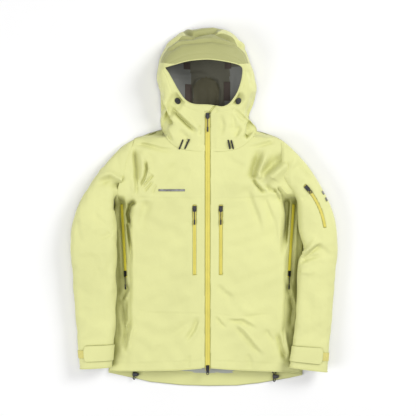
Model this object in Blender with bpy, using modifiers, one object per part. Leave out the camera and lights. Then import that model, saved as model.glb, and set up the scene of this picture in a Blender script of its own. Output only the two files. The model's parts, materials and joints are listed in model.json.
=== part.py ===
"""Hardshell jacket for mountaineering, lying on its back with the hood up and the sleeves beside the body.

Frame: +X to the wearer's left, +Y towards the hood, +Z up out of the front. The origin is on the
surface that the jacket lies on, in the middle of its outline. Shapes are worked out in millimetres,
and MM turns them into metres where a mesh is made.
"""

import math

import bmesh
import bpy
import numpy as np
from mathutils import Matrix, Vector

MM = 0.001

# Driving dimensions.
CLOTH = 1.6            # thickness of each soft wall
GAP = 0.8              # clear space between neighbouring pieces
MIDDLE_X = 10.0        # the front zip lies this far to +X of the outline's middle
TAIL_Y = -495.0        # lowest point of the dropped back hem
HEM_Y = -441.0         # front hem at the zip
YOKE_Y = 26.0          # seam between the yoke and the front panel
NECK_Y = 158.0         # seam between the yoke and the collar, at the zip
SHOULDER_NECK_Y = 213.0
COLLAR_TOP_Y = 281.0   # lower edge of the face opening
HOOD_SPLIT_Y = 304.0   # the hood tilts about this line
HOOD_SPLIT_Z = 70.0
FRONT_Z_HEM = 28.0     # height of the front at the hem, on the zip
FRONT_Z_COLLAR = 66.0  # height of the front at the top of the collar
HINGE_GAP = 2.0        # clear space where a sleeve or the hood meets the body

# Half widths of the body at the surface that it lies on, and the middle that they are measured from.
BODY_HALF_WIDTHS = [(-500, 270), (-450, 270), (-340, 254), (-220, 245), (-100, 244), (20, 246),
                    (100, 230), (183, 202), (213, 136), (310, 132)]
BODY_MIDDLES = [(-500, 2), (-450, 2), (-300, 8), (-100, MIDDLE_X), (310, MIDDLE_X)]
FRONT_SHARE = 0.87     # the front panels reach this share of the half width
SIDE_SHARE = 0.992     # and the side panels this share

# Sleeves: outer edge, inner edge, lowest point and height of the tube at each station from the armhole.
SLEEVE_RIGHT = [
    ((-193, 183), (-238, 33), 0.9, 58), ((-232, 161), (-243, 24), 0.9, 62), ((-276, 115), (-246, 14), 0.9, 64),
    ((-312, 64), (-246, 0), 0.9, 64), ((-342, 10), (-243, -20), 0.9, 64), ((-360, -48), (-240, -60), 0.9, 64),
    ((-367, -110), (-239, -112), 0.9, 62), ((-362, -175), (-240, -175), 0.9, 58),
    ((-357, -250), (-240, -250), 0.9, 54), ((-351, -325), (-242, -322), 1, 50),
    ((-346, -390), (-248, -386), 3, 44), ((-342, -441), (-255, -436), 6, 38),
]
SLEEVE_LEFT = [
    ((213, 183), (260, 33), 0.9, 58), ((246, 156), (264, 22), 0.9, 62), ((285, 113), (266, 10), 0.9, 64),
    ((315, 66), (265, -6), 0.9, 64), ((341, 18), (263, -28), 0.9, 64), ((359, -34), (263, -66), 0.9, 64),
    ((367, -100), (263, -110), 0.9, 62), ((363, -165), (260, -165), 0.9, 58),
    ((357, -240), (257, -245), 2, 54), ((349, -325), (251, -325), 5, 50),
    ((342, -395), (241, -388), 14, 42), ((338, -450), (234, -437), 18, 38),
]
SHOULDER_PIVOTS = {"right": (-190, 185), "left": (210, 185)}

# Hood: outline, edge of the face opening and height of that edge, from the right jaw over the top to the left.
HOOD = [
    ((-125, 305), (-66, 305), 70), ((-130, 340), (-84, 338), 74), ((-129, 375), (-103, 372), 80),
    ((-118, 415), (-98, 388), 88), ((-95, 455), (-55, 401), 100), ((-50, 487), (-20, 407), 106),
    ((8, 495), (10, 408), 108), ((62, 487), (40, 406), 106), ((105, 450), (75, 399), 100),
    ((128, 408), (104, 387), 90), ((141, 368), (107, 362), 80), ((143, 335), (100, 332), 74),
    ((137, 305), (84, 305), 70),
]
BRIM_SHARE = 0.42      # how much of the way from the opening to the outline the brim takes

# Zips. A slider's channel holds a tape of CLOTH thickness.
TAPE_HALF = 6.5
POCKET_TAPE_HALF = 4.5
SLOT_HALF = 0.9
FRONT_ZIP_Y = (-449.0, 276.0)
CHEST_ZIP_X = 36.0
CHEST_ZIP_Y = (-184.0, 6.0)
FRONT_SLIDER_Y = {"top": 250.0, "bottom": -441.0}
CHEST_SLIDER_Y = -3.0
PIT_ZIP_Y = (-192.0, 8.0)
PIT_ZIP_SHARES = (0.40, 0.80)   # how far across the side panel each end lies
PIT_SLIDER_FROM_END = 10.0
SLEEVE_ZIP_ENDS = ((274.0, 60.0), (329.0, -54.0))
SLEEVE_ZIP_BOW = 10.0
SLEEVE_ZIP_Z = 64.9
PLATE = 1.6
CHANNEL = CLOTH / 2 + 0.3
CROWN_TOP = 6.2
PIVOT_Z = 3.7

COLOURS = {
    "shell_fabric": ((0.71, 0.74, 0.30), 0.62, 0.0),
    "lining": ((0.36, 0.37, 0.35), 0.75, 0.0),
    "zip_tape": ((0.83, 0.72, 0.16), 0.45, 0.0),
    "hook_loop": ((0.71, 0.64, 0.15), 0.8, 0.0),
    "black_plastic": ((0.02, 0.02, 0.022), 0.4, 0.0),
    "black_metal": ((0.03, 0.03, 0.032), 0.3, 0.8),
    "black_cord": ((0.015, 0.015, 0.016), 0.7, 0.0),
}

for old in list(bpy.data.objects):
    bpy.data.objects.remove(old)
jacket = bpy.data.collections.new("hardshell_jacket")
cutters = bpy.data.collections.new("cutters")
for collection in (jacket, cutters):
    bpy.context.scene.collection.children.link(collection)


def material(slot):
    """The material of a slot, made once."""
    found = bpy.data.materials.get(slot)
    if found:
        return found
    colour, roughness, metallic = COLOURS[slot]
    made = bpy.data.materials.new(slot)
    made.use_nodes = True
    shader = made.node_tree.nodes["Principled BSDF"]
    shader.inputs["Base Color"].default_value = (*colour, 1)
    shader.inputs["Roughness"].default_value = roughness
    shader.inputs["Metallic"].default_value = metallic
    return made


def add(name, mesh, slot, matrix=None, collection=None, parent=None):
    """An object of that mesh in the jacket's collection. With a parent, the matrix is relative to it."""
    obj = bpy.data.objects.new(name, mesh)
    (collection or jacket).objects.link(obj)
    if not mesh.materials:
        mesh.materials.append(material(slot))
    obj.parent = parent
    if matrix is not None:
        obj.matrix_local = matrix
    return obj


def applied(obj):
    """The evaluated mesh of an object, which is then removed."""
    bpy.context.view_layer.update()
    mesh = bpy.data.meshes.new_from_object(obj.evaluated_get(bpy.context.evaluated_depsgraph_get()))
    bpy.data.objects.remove(obj)
    return mesh


def between(a, b, share):
    return a + (b - a) * share


def at(table, y):
    """The value of a table of (y, value) rows at y."""
    return float(np.interp(y, [row[0] for row in table], [row[1] for row in table]))


def through(stations, share):
    """The smooth curve through stations of equal weight, with share from 0 to 1."""
    last = len(stations) - 1
    place = min(max(share, 0.0), 1.0) * last
    i = min(int(place), last - 1)
    f = place - i
    a, b, c, d = (np.array(stations[min(max(k, 0), last)], float) for k in range(i - 1, i + 3))
    return 0.5 * (2 * b + (c - a) * f + (2 * a - 5 * b + 4 * c - d) * f**2 + (3 * b - a - 3 * c + d) * f**3)


# ---------------------------------------------------------------- surfaces of the body

def middle_x(y):
    return at(BODY_MIDDLES, y)


def half_width(y):
    return at(BODY_HALF_WIDTHS, y)


def zip_height(y):
    """The straight line that the front zip lies on."""
    share = (y - HEM_Y) / (COLLAR_TOP_Y - HEM_Y)
    return between(FRONT_Z_HEM, FRONT_Z_COLLAR, share)


FRONT_TILT = math.atan2(FRONT_Z_COLLAR - FRONT_Z_HEM, COLLAR_TOP_Y - HEM_Y)


def front_point(x, y):
    """A point on the front: flat near the zip and rounded off towards the sides."""
    share = min(abs(x - middle_x(y)) / half_width(y), 0.999)
    return x, y, zip_height(y) * math.sqrt(1 - share**4)


def side_point(side, across, y):
    """A point on a side panel: 0 across at the front panel's edge and 1 at the surface."""
    top = front_point(middle_x(y) + side * FRONT_SHARE * half_width(y), y)
    bottom = (middle_x(y) + side * SIDE_SHARE * half_width(y), y, 3.2)
    return tuple(between(a, b, across) for a, b in zip(top, bottom))


def neck_seam_y(x):
    """The seam that joins the collar to the yokes, from the zip to the shoulder."""
    share = min(abs(x - MIDDLE_X) / 130, 1)
    return between(NECK_Y, SHOULDER_NECK_Y, share**2)


def yoke_top_y(x):
    """The upper edge of the yoke: the neck seam, then the shoulder line."""
    away = abs(x - MIDDLE_X)
    if away < 130:
        return neck_seam_y(x) - GAP
    return between(SHOULDER_NECK_Y, 183, (away - 130) / 68)


def front_hem_y(x):
    return HEM_Y - 12 * ((x - MIDDLE_X) / 270) ** 2


def tail_y(x):
    return TAIL_Y + 38 * ((x - middle_x(TAIL_Y)) / 270) ** 2


# ---------------------------------------------------------------- makers of shapes

def sheet(name, place, columns, rows, slot="shell_fabric", thickness=CLOTH, wrap=False, pivot=(0, 0, 0)):
    """A soft wall: a grid laid on place(across, along), each from 0 to 1, and thickened both ways.

    A wall that moves has its origin at pivot, on its joint's axis.
    """
    pivot = Vector(pivot)
    build = bmesh.new()
    bmesh.ops.create_grid(build, x_segments=columns, y_segments=rows, size=1)
    for vertex in build.verts:
        across, along = (vertex.co.x + 1) / 2, (vertex.co.y + 1) / 2
        vertex.co = (Vector(place(across, along)) - pivot) * MM
    if wrap:
        bmesh.ops.remove_doubles(build, verts=build.verts, dist=0.01 * MM)
    mesh = bpy.data.meshes.new(name)
    build.to_mesh(mesh)
    build.free()
    mesh.shade_smooth()
    obj = add(name, mesh, slot, Matrix.Translation(pivot * MM))
    wall = obj.modifiers.new("wall", "SOLIDIFY")
    wall.thickness = thickness * MM
    wall.offset = 0
    wall.use_even_offset = True
    return obj


def box_mesh(low, high, bevel=0.0):
    """A box between two corners in millimetres, with rounded edges if bevel is given."""
    build = bmesh.new()
    bmesh.ops.create_cube(build, size=1)
    low, high = Vector(low), Vector(high)
    for vertex in build.verts:
        vertex.co = Vector(between(a, b, v + 0.5) for a, b, v in zip(low, high, vertex.co)) * MM
    if bevel:
        bmesh.ops.bevel(build, geom=build.edges[:], offset=bevel * MM, segments=1, affect="EDGES")
    mesh = bpy.data.meshes.new("box")
    build.to_mesh(mesh)
    build.free()
    return mesh


def plate_mesh(outlines, thickness):
    """A flat plate between the outlines: the first is its edge and the others are holes."""
    curve = bpy.data.curves.new("plate", "CURVE")
    curve.dimensions = "2D"
    curve.fill_mode = "BOTH"
    curve.extrude = thickness / 2 * MM
    for outline in outlines:
        spline = curve.splines.new("POLY")
        spline.points.add(len(outline) - 1)
        for point, (x, y) in zip(spline.points, outline):
            point.co = (x * MM, y * MM, 0, 1)
        spline.use_cyclic_u = True
    obj = add("plate", curve, "black_metal")
    mesh = applied(obj)
    build = bmesh.new()
    build.from_mesh(mesh)
    bmesh.ops.remove_doubles(build, verts=build.verts, dist=0.001 * MM)
    bmesh.ops.recalc_face_normals(build, faces=build.faces)
    build.to_mesh(mesh)
    build.free()
    mesh.materials.clear()
    return mesh


def joined(meshes):
    """One body from meshes that overlap."""
    parts = [add(f"joining_{i}", mesh, "black_metal") for i, mesh in enumerate(meshes)]
    for other in parts[1:]:
        union = parts[0].modifiers.new("union", "BOOLEAN")
        union.operation = "UNION"
        union.object = other
    mesh = applied(parts[0])
    for other in parts[1:]:
        bpy.data.objects.remove(other)
    mesh.materials.clear()
    return mesh


def cut(obj, cutter_mesh, matrix):
    """Cuts a shape out of an object."""
    cutter = add(f"cutter_{obj.name}", cutter_mesh, "lining", matrix, cutters)
    cutter.hide_render = True
    cutter.display_type = "WIRE"
    hole = obj.modifiers.new("opening", "BOOLEAN")
    hole.operation = "DIFFERENCE"
    hole.object = cutter


def cord(name, points, diameter, slot="black_cord"):
    """A cord along a smooth curve through its own points, with a ring of sides every 2 diameters."""
    length = sum(math.dist(a, b) for a, b in zip(points, points[1:]))
    count = max(6, round(length / (2 * diameter)))
    curve = bpy.data.curves.new(name, "CURVE")
    curve.dimensions = "3D"
    curve.bevel_depth = diameter / 2 * MM
    curve.bevel_resolution = 2
    curve.use_fill_caps = True
    spline = curve.splines.new("POLY")
    spline.points.add(count)
    for i, point in enumerate(spline.points):
        point.co = (*(through(points, i / count) * MM), 1)
    return add(name, curve, slot)


def rectangle(half_x, low_y, high_y, corner=0.0, steps=3):
    """Points round a rectangle with round corners."""
    points = []
    for cx, cy, start in ((half_x, high_y, 0), (-half_x, high_y, 90), (-half_x, low_y, 180), (half_x, low_y, 270)):
        ix, iy = cx - math.copysign(corner, cx), cy - corner if start < 180 else cy + corner
        if not corner:
            points.append((cx, cy))
            continue
        for i in range(steps + 1):
            angle = math.radians(start + 90 * i / steps)
            points.append((ix + corner * math.cos(angle), iy + corner * math.sin(angle)))
    return points


def circle(x, y, radius, steps=12):
    turns = (2 * math.pi * i / steps for i in range(steps))
    return [(x + radius * math.cos(a), y + radius * math.sin(a)) for a in turns]


def frame_at(origin, along, up):
    """The matrix with +Y along a direction and +Z as near as it can be to up, at a point in millimetres."""
    y = Vector(along).normalized()
    x = y.cross(Vector(up)).normalized()
    z = x.cross(y)
    rotation = Matrix((x, y, z)).transposed().to_4x4()
    return Matrix.Translation(Vector(origin) * MM) @ rotation


# ---------------------------------------------------------------- body of the jacket

def side_of(name):
    return -1 if name.endswith("right") else 1


def make_back():
    """The back panel from the dropped tail to the shoulders, the tail's facing and the back of the collar."""
    low_edge = 0.985

    def back(across, along):
        y = between(HEM_Y, SHOULDER_NECK_Y - GAP, along)
        reach = half_width(y) * low_edge * (2 * across - 1)
        x = middle_x(y) + reach
        return x, y - (1 - along) ** 6 * (HEM_Y - tail_y(x)), CLOTH / 2

    def facing(across, along):
        reach = 0.94 * half_width(HEM_Y) * (2 * across - 1)
        x = middle_x(HEM_Y) + reach
        return x, between(tail_y(x) + 3, tail_y(x) + 38, along), CLOTH * 1.5 + 0.3

    def collar(across, along):
        y = between(SHOULDER_NECK_Y, HOOD_SPLIT_Y - HINGE_GAP, along)
        return MIDDLE_X + 126 * (2 * across - 1), y, CLOTH / 2

    sheet("back_panel", back, 10, 16)
    sheet("back_hem_facing", facing, 12, 1)
    sheet("collar_back", collar, 6, 2)


def make_front(name):
    """The yoke, front panel, side panel and collar of one side."""
    side = side_of(name)
    inner = TAPE_HALF + GAP

    def panel(across, along):
        y = between(HEM_Y, YOKE_Y - GAP, along)
        outer = FRONT_SHARE * half_width(y) - GAP + side * (middle_x(y) - MIDDLE_X)
        x = MIDDLE_X + side * between(inner, outer, across)
        return front_point(x, y + (1 - along) ** 4 * (front_hem_y(x) - HEM_Y))

    def yoke(across, along):
        outer = between(FRONT_SHARE * half_width(YOKE_Y) - GAP, 0.945 * 202, along)
        x = MIDDLE_X + side * between(inner, outer, across)
        return front_point(x, between(YOKE_Y, yoke_top_y(x), along))

    def flank(across, along):
        y = between(HEM_Y - 8, YOKE_Y, along)
        return side_point(side, across, y)

    def collar(across, along):
        x = MIDDLE_X + side * between(inner, 129, across)
        away = abs(x - MIDDLE_X)
        rise = min(max((away - 42) / 34, 0), 1)
        top = between(COLLAR_TOP_Y, HOOD_SPLIT_Y - HINGE_GAP, rise * rise * (3 - 2 * rise))
        return front_point(x, between(neck_seam_y(x), top, along))

    front = sheet(f"front_panel_{name}", panel, 12, 14)
    sheet(f"front_yoke_{name}", yoke, 10, 6)
    flank_sheet = sheet(f"side_panel_{name}", flank, 2, 12)
    sheet(f"collar_{name}", collar, 10, 5)
    return front, flank_sheet


# ---------------------------------------------------------------- zips

def slider_mesh():
    """A slider: two plates on a post that runs between the tapes, and a crown that holds the pull."""
    plates = [
        box_mesh((-5, -7.5, CHANNEL), (5, 7.5, CHANNEL + PLATE), 0.5),
        box_mesh((-4.5, -7.5, -CHANNEL - PLATE), (4.5, 7.5, -CHANNEL), 0.4),
        box_mesh((-0.5, -1, -CHANNEL - 0.5), (0.5, 6, CHANNEL + 0.5)),
    ]
    base = CHANNEL + PLATE - 0.4
    crown = [
        box_mesh((-1.2, -4.2, base), (1.2, -2.8, CROWN_TOP)),
        box_mesh((-1.2, 2.8, base), (1.2, 4.2, CROWN_TOP)),
        box_mesh((-1.2, -4.2, 5.0), (1.2, 4.2, CROWN_TOP)),
    ]
    return joined(plates + crown)


def tab_outline(length, half):
    return rectangle(half, -length, 0.6, 0.6, 2), rectangle(1.8, -5.2, -0.6)


def cord_pull_mesh():
    """A metal tab with a thin cord through its end and a moulded grip, from its bar on the pivot to the tip."""
    outer, hole = tab_outline(9.0, 3.2)
    return joined([
        plate_mesh([outer, hole], 1.2),
        box_mesh((-1.2, -32, -0.55), (1.2, -8, 0.65), 0.3),
        box_mesh((-2.3, -44, -0.6), (2.3, -30, 1.6), 0.6),
    ])


def ring_pull_mesh():
    """A short metal tab that ends in a ring."""
    outer, hole = tab_outline(11.0, 3.2)
    ring = plate_mesh([circle(0, -15, 4.2, 16), circle(0, -15, 2.2, 12)], 1.2)
    return joined([plate_mesh([outer, hole], 1.2), ring])


def make_zip_tape(name, length, holder, matrix):
    """A pocket zip's two tapes, joined past the ends of the slot that the slider's post runs in."""
    mesh = plate_mesh([rectangle(POCKET_TAPE_HALF, 0, length, 1.5, 2),
                       rectangle(SLOT_HALF, 3, length - 3)], CLOTH)
    add(name, mesh, "zip_tape", matrix)
    reach = POCKET_TAPE_HALF + GAP
    cut(holder, box_mesh((-reach, -GAP, -6), (reach, length + GAP, 6)), matrix)


def make_slider(name, pull, matrix, meshes):
    """A slider and its pull on a zip. The matrix has +Y along the zip, away from the pull."""
    slider_shape, pulls = meshes
    slider = add(f"{name}_slider", slider_shape, "black_metal", matrix)
    pivot = Matrix.Translation((0, 0, PIVOT_Z * MM))
    add(f"{name}_pull", pulls[pull], "black_metal", pivot, parent=slider)


def make_front_zip(meshes):
    """The two-way front zip with its tapes, retainer box, flap and sliders."""
    low, high = FRONT_ZIP_Y
    origin = (MIDDLE_X, low, zip_height(low))
    matrix = frame_at(origin, (0, math.cos(FRONT_TILT), math.sin(FRONT_TILT)), (0, 0, 1))
    length = (high - low) / math.cos(FRONT_TILT)
    half = CLOTH / 2
    for side, name in ((-1, "right"), (1, "left")):
        xs = sorted((side * SLOT_HALF, side * TAPE_HALF))
        tape = box_mesh((xs[0], 0, -half), (xs[1], length, half))
        add(f"zip_tape_{name}", tape, "zip_tape", matrix)
    add("zip_box", box_mesh((-4, -6.5, -2), (4, -0.8, 2), 0.6), "black_plastic", matrix)
    add("storm_flap", box_mesh((-20, 6, -5.6), (20, length - 6, -4.2)), "shell_fabric", matrix)
    for place, pull in (("top", "cord"), ("bottom", "ring")):
        y = FRONT_SLIDER_Y[place]
        origin = (MIDDLE_X, y, zip_height(y))
        make_slider(f"front_{place}", pull, frame_at(origin, matrix.col[1][:3], (0, 0, 1)), meshes)


def make_chest_pocket(name, front, meshes):
    """A chest pocket: its zip let into the front panel, and the bag that hangs behind it."""
    side = side_of(name)
    x = MIDDLE_X + side * CHEST_ZIP_X
    low, high = CHEST_ZIP_Y
    along = (0, math.cos(FRONT_TILT), math.sin(FRONT_TILT))
    matrix = frame_at((x, low, zip_height(low)), along, (0, 0, 1))
    length = (high - low) / math.cos(FRONT_TILT)
    make_zip_tape(f"chest_zip_tape_{name}", length, front, matrix)
    make_slider(f"chest_{name}", "cord",
                frame_at((x, CHEST_SLIDER_Y, zip_height(CHEST_SLIDER_Y)), along, (0, 0, 1)), meshes)
    xs = sorted((-side * 8, side * 118))
    bag = box_mesh((xs[0], -20, -9.5), (xs[1], length + 6, -7.9), 0.4)
    add(f"chest_pocket_bag_{name}", bag, "lining", matrix)


def make_pit_zip(name, flank, meshes):
    """The vent zip that runs down the side panel from the armpit."""
    side = side_of(name)
    low, high = (Vector(side_point(side, share, y)) for share, y in zip(PIT_ZIP_SHARES, PIT_ZIP_Y))
    across = Vector(side_point(side, 1, PIT_ZIP_Y[0])) - Vector(side_point(side, 0, PIT_ZIP_Y[0]))
    normal = (high - low).cross(across) * -side
    if normal.z < 0:
        normal.negate()
    matrix = frame_at(low, high - low, normal)
    make_zip_tape(f"pit_zip_tape_{name}", (high - low).length, flank, matrix)
    start = matrix @ Matrix.Translation((0, PIT_SLIDER_FROM_END * MM, 0))
    make_slider(f"pit_{name}", "cord", start, meshes)


# ---------------------------------------------------------------- sleeves

def sleeve_point(stations, around, along, outset=0.0):
    """A point on a sleeve: around 0 at the inner edge, 0.25 on top, 0.5 at the outer edge."""
    flat = [(*outer, *inner, low, height) for outer, inner, low, height in stations]
    ox, oy, ix, iy, low, height = through(flat, along)
    angle = 2 * math.pi * around
    half = math.dist((ox, oy), (ix, iy)) / 2
    share = math.cos(angle) * (1 + outset / half) / 2
    x, y = between(ox, ix, 0.5 + share), between(oy, iy, 0.5 + share)
    return x, y, low + height / 2 + (height / 2 + outset) * math.sin(angle)


def sleeve_zip_arc():
    """Centre, radius and half angle of the arc that the sleeve pocket's zip follows, and the chord's middle."""
    a, b = (Vector(end) for end in SLEEVE_ZIP_ENDS)
    chord = (b - a).length
    radius = chord**2 / (8 * SLEEVE_ZIP_BOW) + SLEEVE_ZIP_BOW / 2
    outward = Vector(((a - b).y, (b - a).x)).normalized()
    middle = (a + b) / 2
    return middle - outward * (radius - SLEEVE_ZIP_BOW), radius, math.asin(chord / 2 / radius), outward


def arc_band(half, end_gap):
    """Points round a band of that half width on the sleeve zip's arc, about the arc's centre, +X outward."""
    _, radius, reach, _ = sleeve_zip_arc()
    reach -= end_gap / radius
    turns = [between(-reach, reach, i / 16) for i in range(17)]
    outer = [((radius + half) * math.cos(a), (radius + half) * math.sin(a)) for a in turns]
    inner = [((radius - half) * math.cos(a), (radius - half) * math.sin(a)) for a in reversed(turns)]
    return outer + inner


def make_sleeve(name, stations):
    """A sleeve with its cuff's hook-and-loop patch and tab, whose facets line up with the sleeve's."""
    rings, sides = 26, 20

    def layer(low, high, first, last, outset):
        def place(across, along):
            turn, ring = between(low, high, across) / sides, between(first, last, along) / rings
            return sleeve_point(stations, turn, 0.004 + 0.996 * ring, outset)
        return place

    shoulder = (*SHOULDER_PIVOTS[name], 30)
    sewn_end = layer(1, 8, 23, 25, 2 * CLOTH + 1.4)(0, 0.5)
    sleeve = sheet(f"sleeve_{name}", layer(0, sides, 0, rings, 0), sides, rings, wrap=True, pivot=shoulder)
    sheet(f"cuff_patch_{name}", layer(4, 9, 23.25, 24.75, CLOTH + 0.5), 5, 2, "hook_loop", pivot=shoulder)
    sheet(f"cuff_tab_{name}", layer(1, 8, 23, 25, 2 * CLOTH + 1.4), 7, 2, pivot=sewn_end)
    return sleeve


def make_sleeve_pocket(sleeve, meshes):
    """The left sleeve's pocket: a curved zip let into the top of the sleeve."""
    centre, radius, reach, outward = sleeve_zip_arc()
    height = SLEEVE_ZIP_Z
    turn = Matrix.Rotation(math.atan2(outward.y, outward.x), 4, "Z")
    matrix = Matrix.Translation(Vector((*centre, height)) * MM) @ turn
    tape = plate_mesh([arc_band(POCKET_TAPE_HALF, 0), arc_band(SLOT_HALF, 3)], CLOTH)
    add("sleeve_zip_tape", tape, "zip_tape", matrix)
    cut(sleeve, plate_mesh([arc_band(POCKET_TAPE_HALF + GAP, -GAP)], 14), matrix)
    start = reach - 9 / radius
    along = matrix.to_3x3() @ Vector((-math.sin(start), math.cos(start), 0))
    origin = matrix @ (Vector((math.cos(start), math.sin(start), 0)) * radius * MM)
    make_slider("sleeve", "ring", frame_at(origin / MM, along, (0, 0, 1)), meshes)


# ---------------------------------------------------------------- hood

def hood_point(along, across):
    """A point on the hood: along from the right jaw over the top to the left one, across from the opening out."""
    flat = [(*outline, *edge, height) for outline, edge, height in HOOD]
    ox, oy, ex, ey, height = through(flat, along)
    angle = math.radians(87) * across
    share = math.sin(angle)
    return between(ex, ox, share), between(ey, oy, share), max(height * math.cos(angle), 4.5)


def make_hood():
    """The hood's sides, stiff brim, crown and back."""
    brim_start, brim_end = 0.235, 0.765
    seam = 0.004

    def side(start, end):
        return lambda u, v: hood_point(between(start, end, u), v)

    def brim(across, along):
        return hood_point(between(brim_start, brim_end, across), between(0, BRIM_SHARE, along))

    def crown(across, along):
        return hood_point(between(brim_start, brim_end, across), between(BRIM_SHARE + 0.012, 1, along))

    def back(across, along):
        left, right = hood_point(along / 2 * 0.94, 1), hood_point(1 - along / 2 * 0.94, 1)
        share = between(0.015, 0.985, across)
        return between(left[0], right[0], share), between(left[1], right[1], share), CLOTH / 2 + 0.4

    hinge = (MIDDLE_X, HOOD_SPLIT_Y - HINGE_GAP / 2, HOOD_SPLIT_Z)
    sheet("hood_side_right", side(0, brim_start - seam), 5, 7, pivot=hinge)
    sheet("hood_side_left", side(brim_end + seam, 1), 5, 7, pivot=hinge)
    sheet("hood_brim", brim, 16, 3, pivot=hinge)
    sheet("hood_crown", crown, 16, 6, pivot=hinge)
    sheet("hood_back", back, 8, 10, pivot=hinge)


# ---------------------------------------------------------------- cords, locks and loops

def surface_frame(x, y):
    """The frame of the front's surface at a point: +Z out of it and +Y up it."""
    step = 2.0
    here = Vector(front_point(x, y))
    up = Vector(front_point(x, y + step)) - here
    across = Vector(front_point(x + step, y)) - here
    return frame_at(here, up, across.cross(up))


def make_hood_lock(name):
    """A cord lock behind the hood's edge: an oval housing with a press button in it."""
    x, y = {"right": (-71, 290), "left": (93, 290)}[name]
    matrix = surface_frame(x, y) @ Matrix.Translation((0, 0, (CLOTH / 2 + 0.4) * MM))
    ring = plate_mesh([circle(0, 0, 7.0, 20), circle(0, 0, 4.8, 16)], 3.0)
    lift = Matrix.Translation((0, 0, 1.5 * MM))
    add(f"hood_lock_{name}", ring, "black_plastic", matrix @ lift)
    button = plate_mesh([circle(0, 0, 4.3, 16)], 2.4)
    add(f"hood_button_{name}", button, "black_plastic", matrix @ Matrix.Translation((0, 0, 3.6 * MM)))


def on_front(x, y, above):
    px, py, pz = front_point(x, y)
    return px, py, pz + above


def make_hood_cord(name):
    """The two ends of a hood cord that hang out of the neck seam."""
    side = side_of(name)
    x = MIDDLE_X + side * 59
    above = CLOTH / 2 + 2.2
    lean = 4 * side
    route = [(x - 7 + lean * 0.2, NECK_Y - 1, above), (x - 7 + lean * 0.7, NECK_Y + 8, above),
             (x - 7 + lean, NECK_Y + 18, above), (x - 4 + lean, NECK_Y + 24, above),
             (x + 4 + lean, NECK_Y + 24, above), (x + 7 + lean, NECK_Y + 18, above),
             (x + 7 + lean * 0.7, NECK_Y + 8, above), (x + 7 + lean * 0.2, NECK_Y - 1, above)]
    cord(f"hood_cord_{name}", [on_front(*point) for point in route], 3.0)


def make_hem_lock(name):
    """A cord lock on a loop of the hem's elastic cord, lying on the tail's facing."""
    x, y = {"right": (-191, -462), "left": (197, -468)}[name]
    base = 2 * CLOTH + 1.2
    matrix = Matrix.Translation(Vector((x, y, base)) * MM)
    add(f"hem_cordlock_{name}", lock_mesh(), "black_plastic", matrix)
    add(f"hem_plunger_{name}", box_mesh((4.4, -2.9, 1.9), (10.4, 2.9, 6.1), 0.6), "black_plastic", matrix)
    half = [(-6.4, 14), (-2.6, 9), (-1.5, 5), (-1.5, -5), (-3.0, -10)]
    runs = half + [(0, -14)] + [(-reach, along) for reach, along in reversed(half)]
    route = [(x - 2.6 + reach, y + along, base + 4) for reach, along in runs]
    cord(f"hem_cord_{name}", route, 2.4)


def lock_mesh():
    """The body of a cord lock: a slot through it for two runs of cord, and a bore for the plunger."""
    body = add("lock_body", box_mesh((-7, -5, 0), (7, 5, 8), 1.2), "black_plastic")
    holes = [box_mesh((-5.9, -9, 2.2), (0.7, 9, 5.8)), box_mesh((1.7, -3.4, 1.4), (9, 3.4, 6.6))]
    tools = [add("lock_hole", mesh, "black_plastic") for mesh in holes]
    for tool in tools:
        hole = body.modifiers.new("hole", "BOOLEAN")
        hole.operation = "DIFFERENCE"
        hole.object = tool
    mesh = applied(body)
    for tool in tools:
        bpy.data.objects.remove(tool)
    return mesh


def make_hanger_loop():
    """The loop inside the back of the neck that the jacket hangs by."""
    def strap(across, along):
        x = MIDDLE_X + 36 * (2 * across - 1)
        return x, between(226, 234, along), 3.4 + 9 * (1 - (2 * across - 1) ** 4)
    sheet("hanger_loop", strap, 12, 1, "lining", thickness=1.2)


def main():
    meshes = (slider_mesh(), {"cord": cord_pull_mesh(), "ring": ring_pull_mesh()})
    make_back()
    make_front_zip(meshes)
    for name, stations in (("right", SLEEVE_RIGHT), ("left", SLEEVE_LEFT)):
        front, flank = make_front(name)
        make_chest_pocket(name, front, meshes)
        make_pit_zip(name, flank, meshes)
        sleeve = make_sleeve(name, stations)
        if name == "left":
            make_sleeve_pocket(sleeve, meshes)
        make_hood_lock(name)
        make_hood_cord(name)
        make_hem_lock(name)
    make_hood()
    make_hanger_loop()


main()
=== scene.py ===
import json
import math

import bmesh
import bpy
import numpy as np
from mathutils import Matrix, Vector


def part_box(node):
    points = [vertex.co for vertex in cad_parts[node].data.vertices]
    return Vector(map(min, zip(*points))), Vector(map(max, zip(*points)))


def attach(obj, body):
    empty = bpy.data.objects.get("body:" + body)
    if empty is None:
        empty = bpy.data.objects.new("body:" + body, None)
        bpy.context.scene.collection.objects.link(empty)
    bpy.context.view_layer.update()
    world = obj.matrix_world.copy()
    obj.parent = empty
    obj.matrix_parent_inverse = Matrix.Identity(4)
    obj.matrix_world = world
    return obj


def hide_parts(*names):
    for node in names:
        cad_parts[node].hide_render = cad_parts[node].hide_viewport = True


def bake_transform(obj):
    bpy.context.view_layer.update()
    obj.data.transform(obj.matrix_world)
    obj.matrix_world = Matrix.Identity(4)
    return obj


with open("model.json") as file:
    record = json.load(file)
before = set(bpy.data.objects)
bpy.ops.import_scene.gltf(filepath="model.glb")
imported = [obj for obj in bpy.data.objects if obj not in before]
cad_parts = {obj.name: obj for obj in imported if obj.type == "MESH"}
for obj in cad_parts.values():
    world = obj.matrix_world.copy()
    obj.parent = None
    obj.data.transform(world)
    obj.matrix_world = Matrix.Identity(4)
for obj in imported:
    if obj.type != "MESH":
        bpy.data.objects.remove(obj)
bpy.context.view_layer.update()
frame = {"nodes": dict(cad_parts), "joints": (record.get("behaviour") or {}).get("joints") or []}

# The looks of a hardshell jacket lying on its back. Lengths are in millimetres until a mesh is made.
# +X is to the wearer's left, +Y towards the hood and +Z up out of the front.
MM = 0.001
UP = (0, 0, 1)

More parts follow.
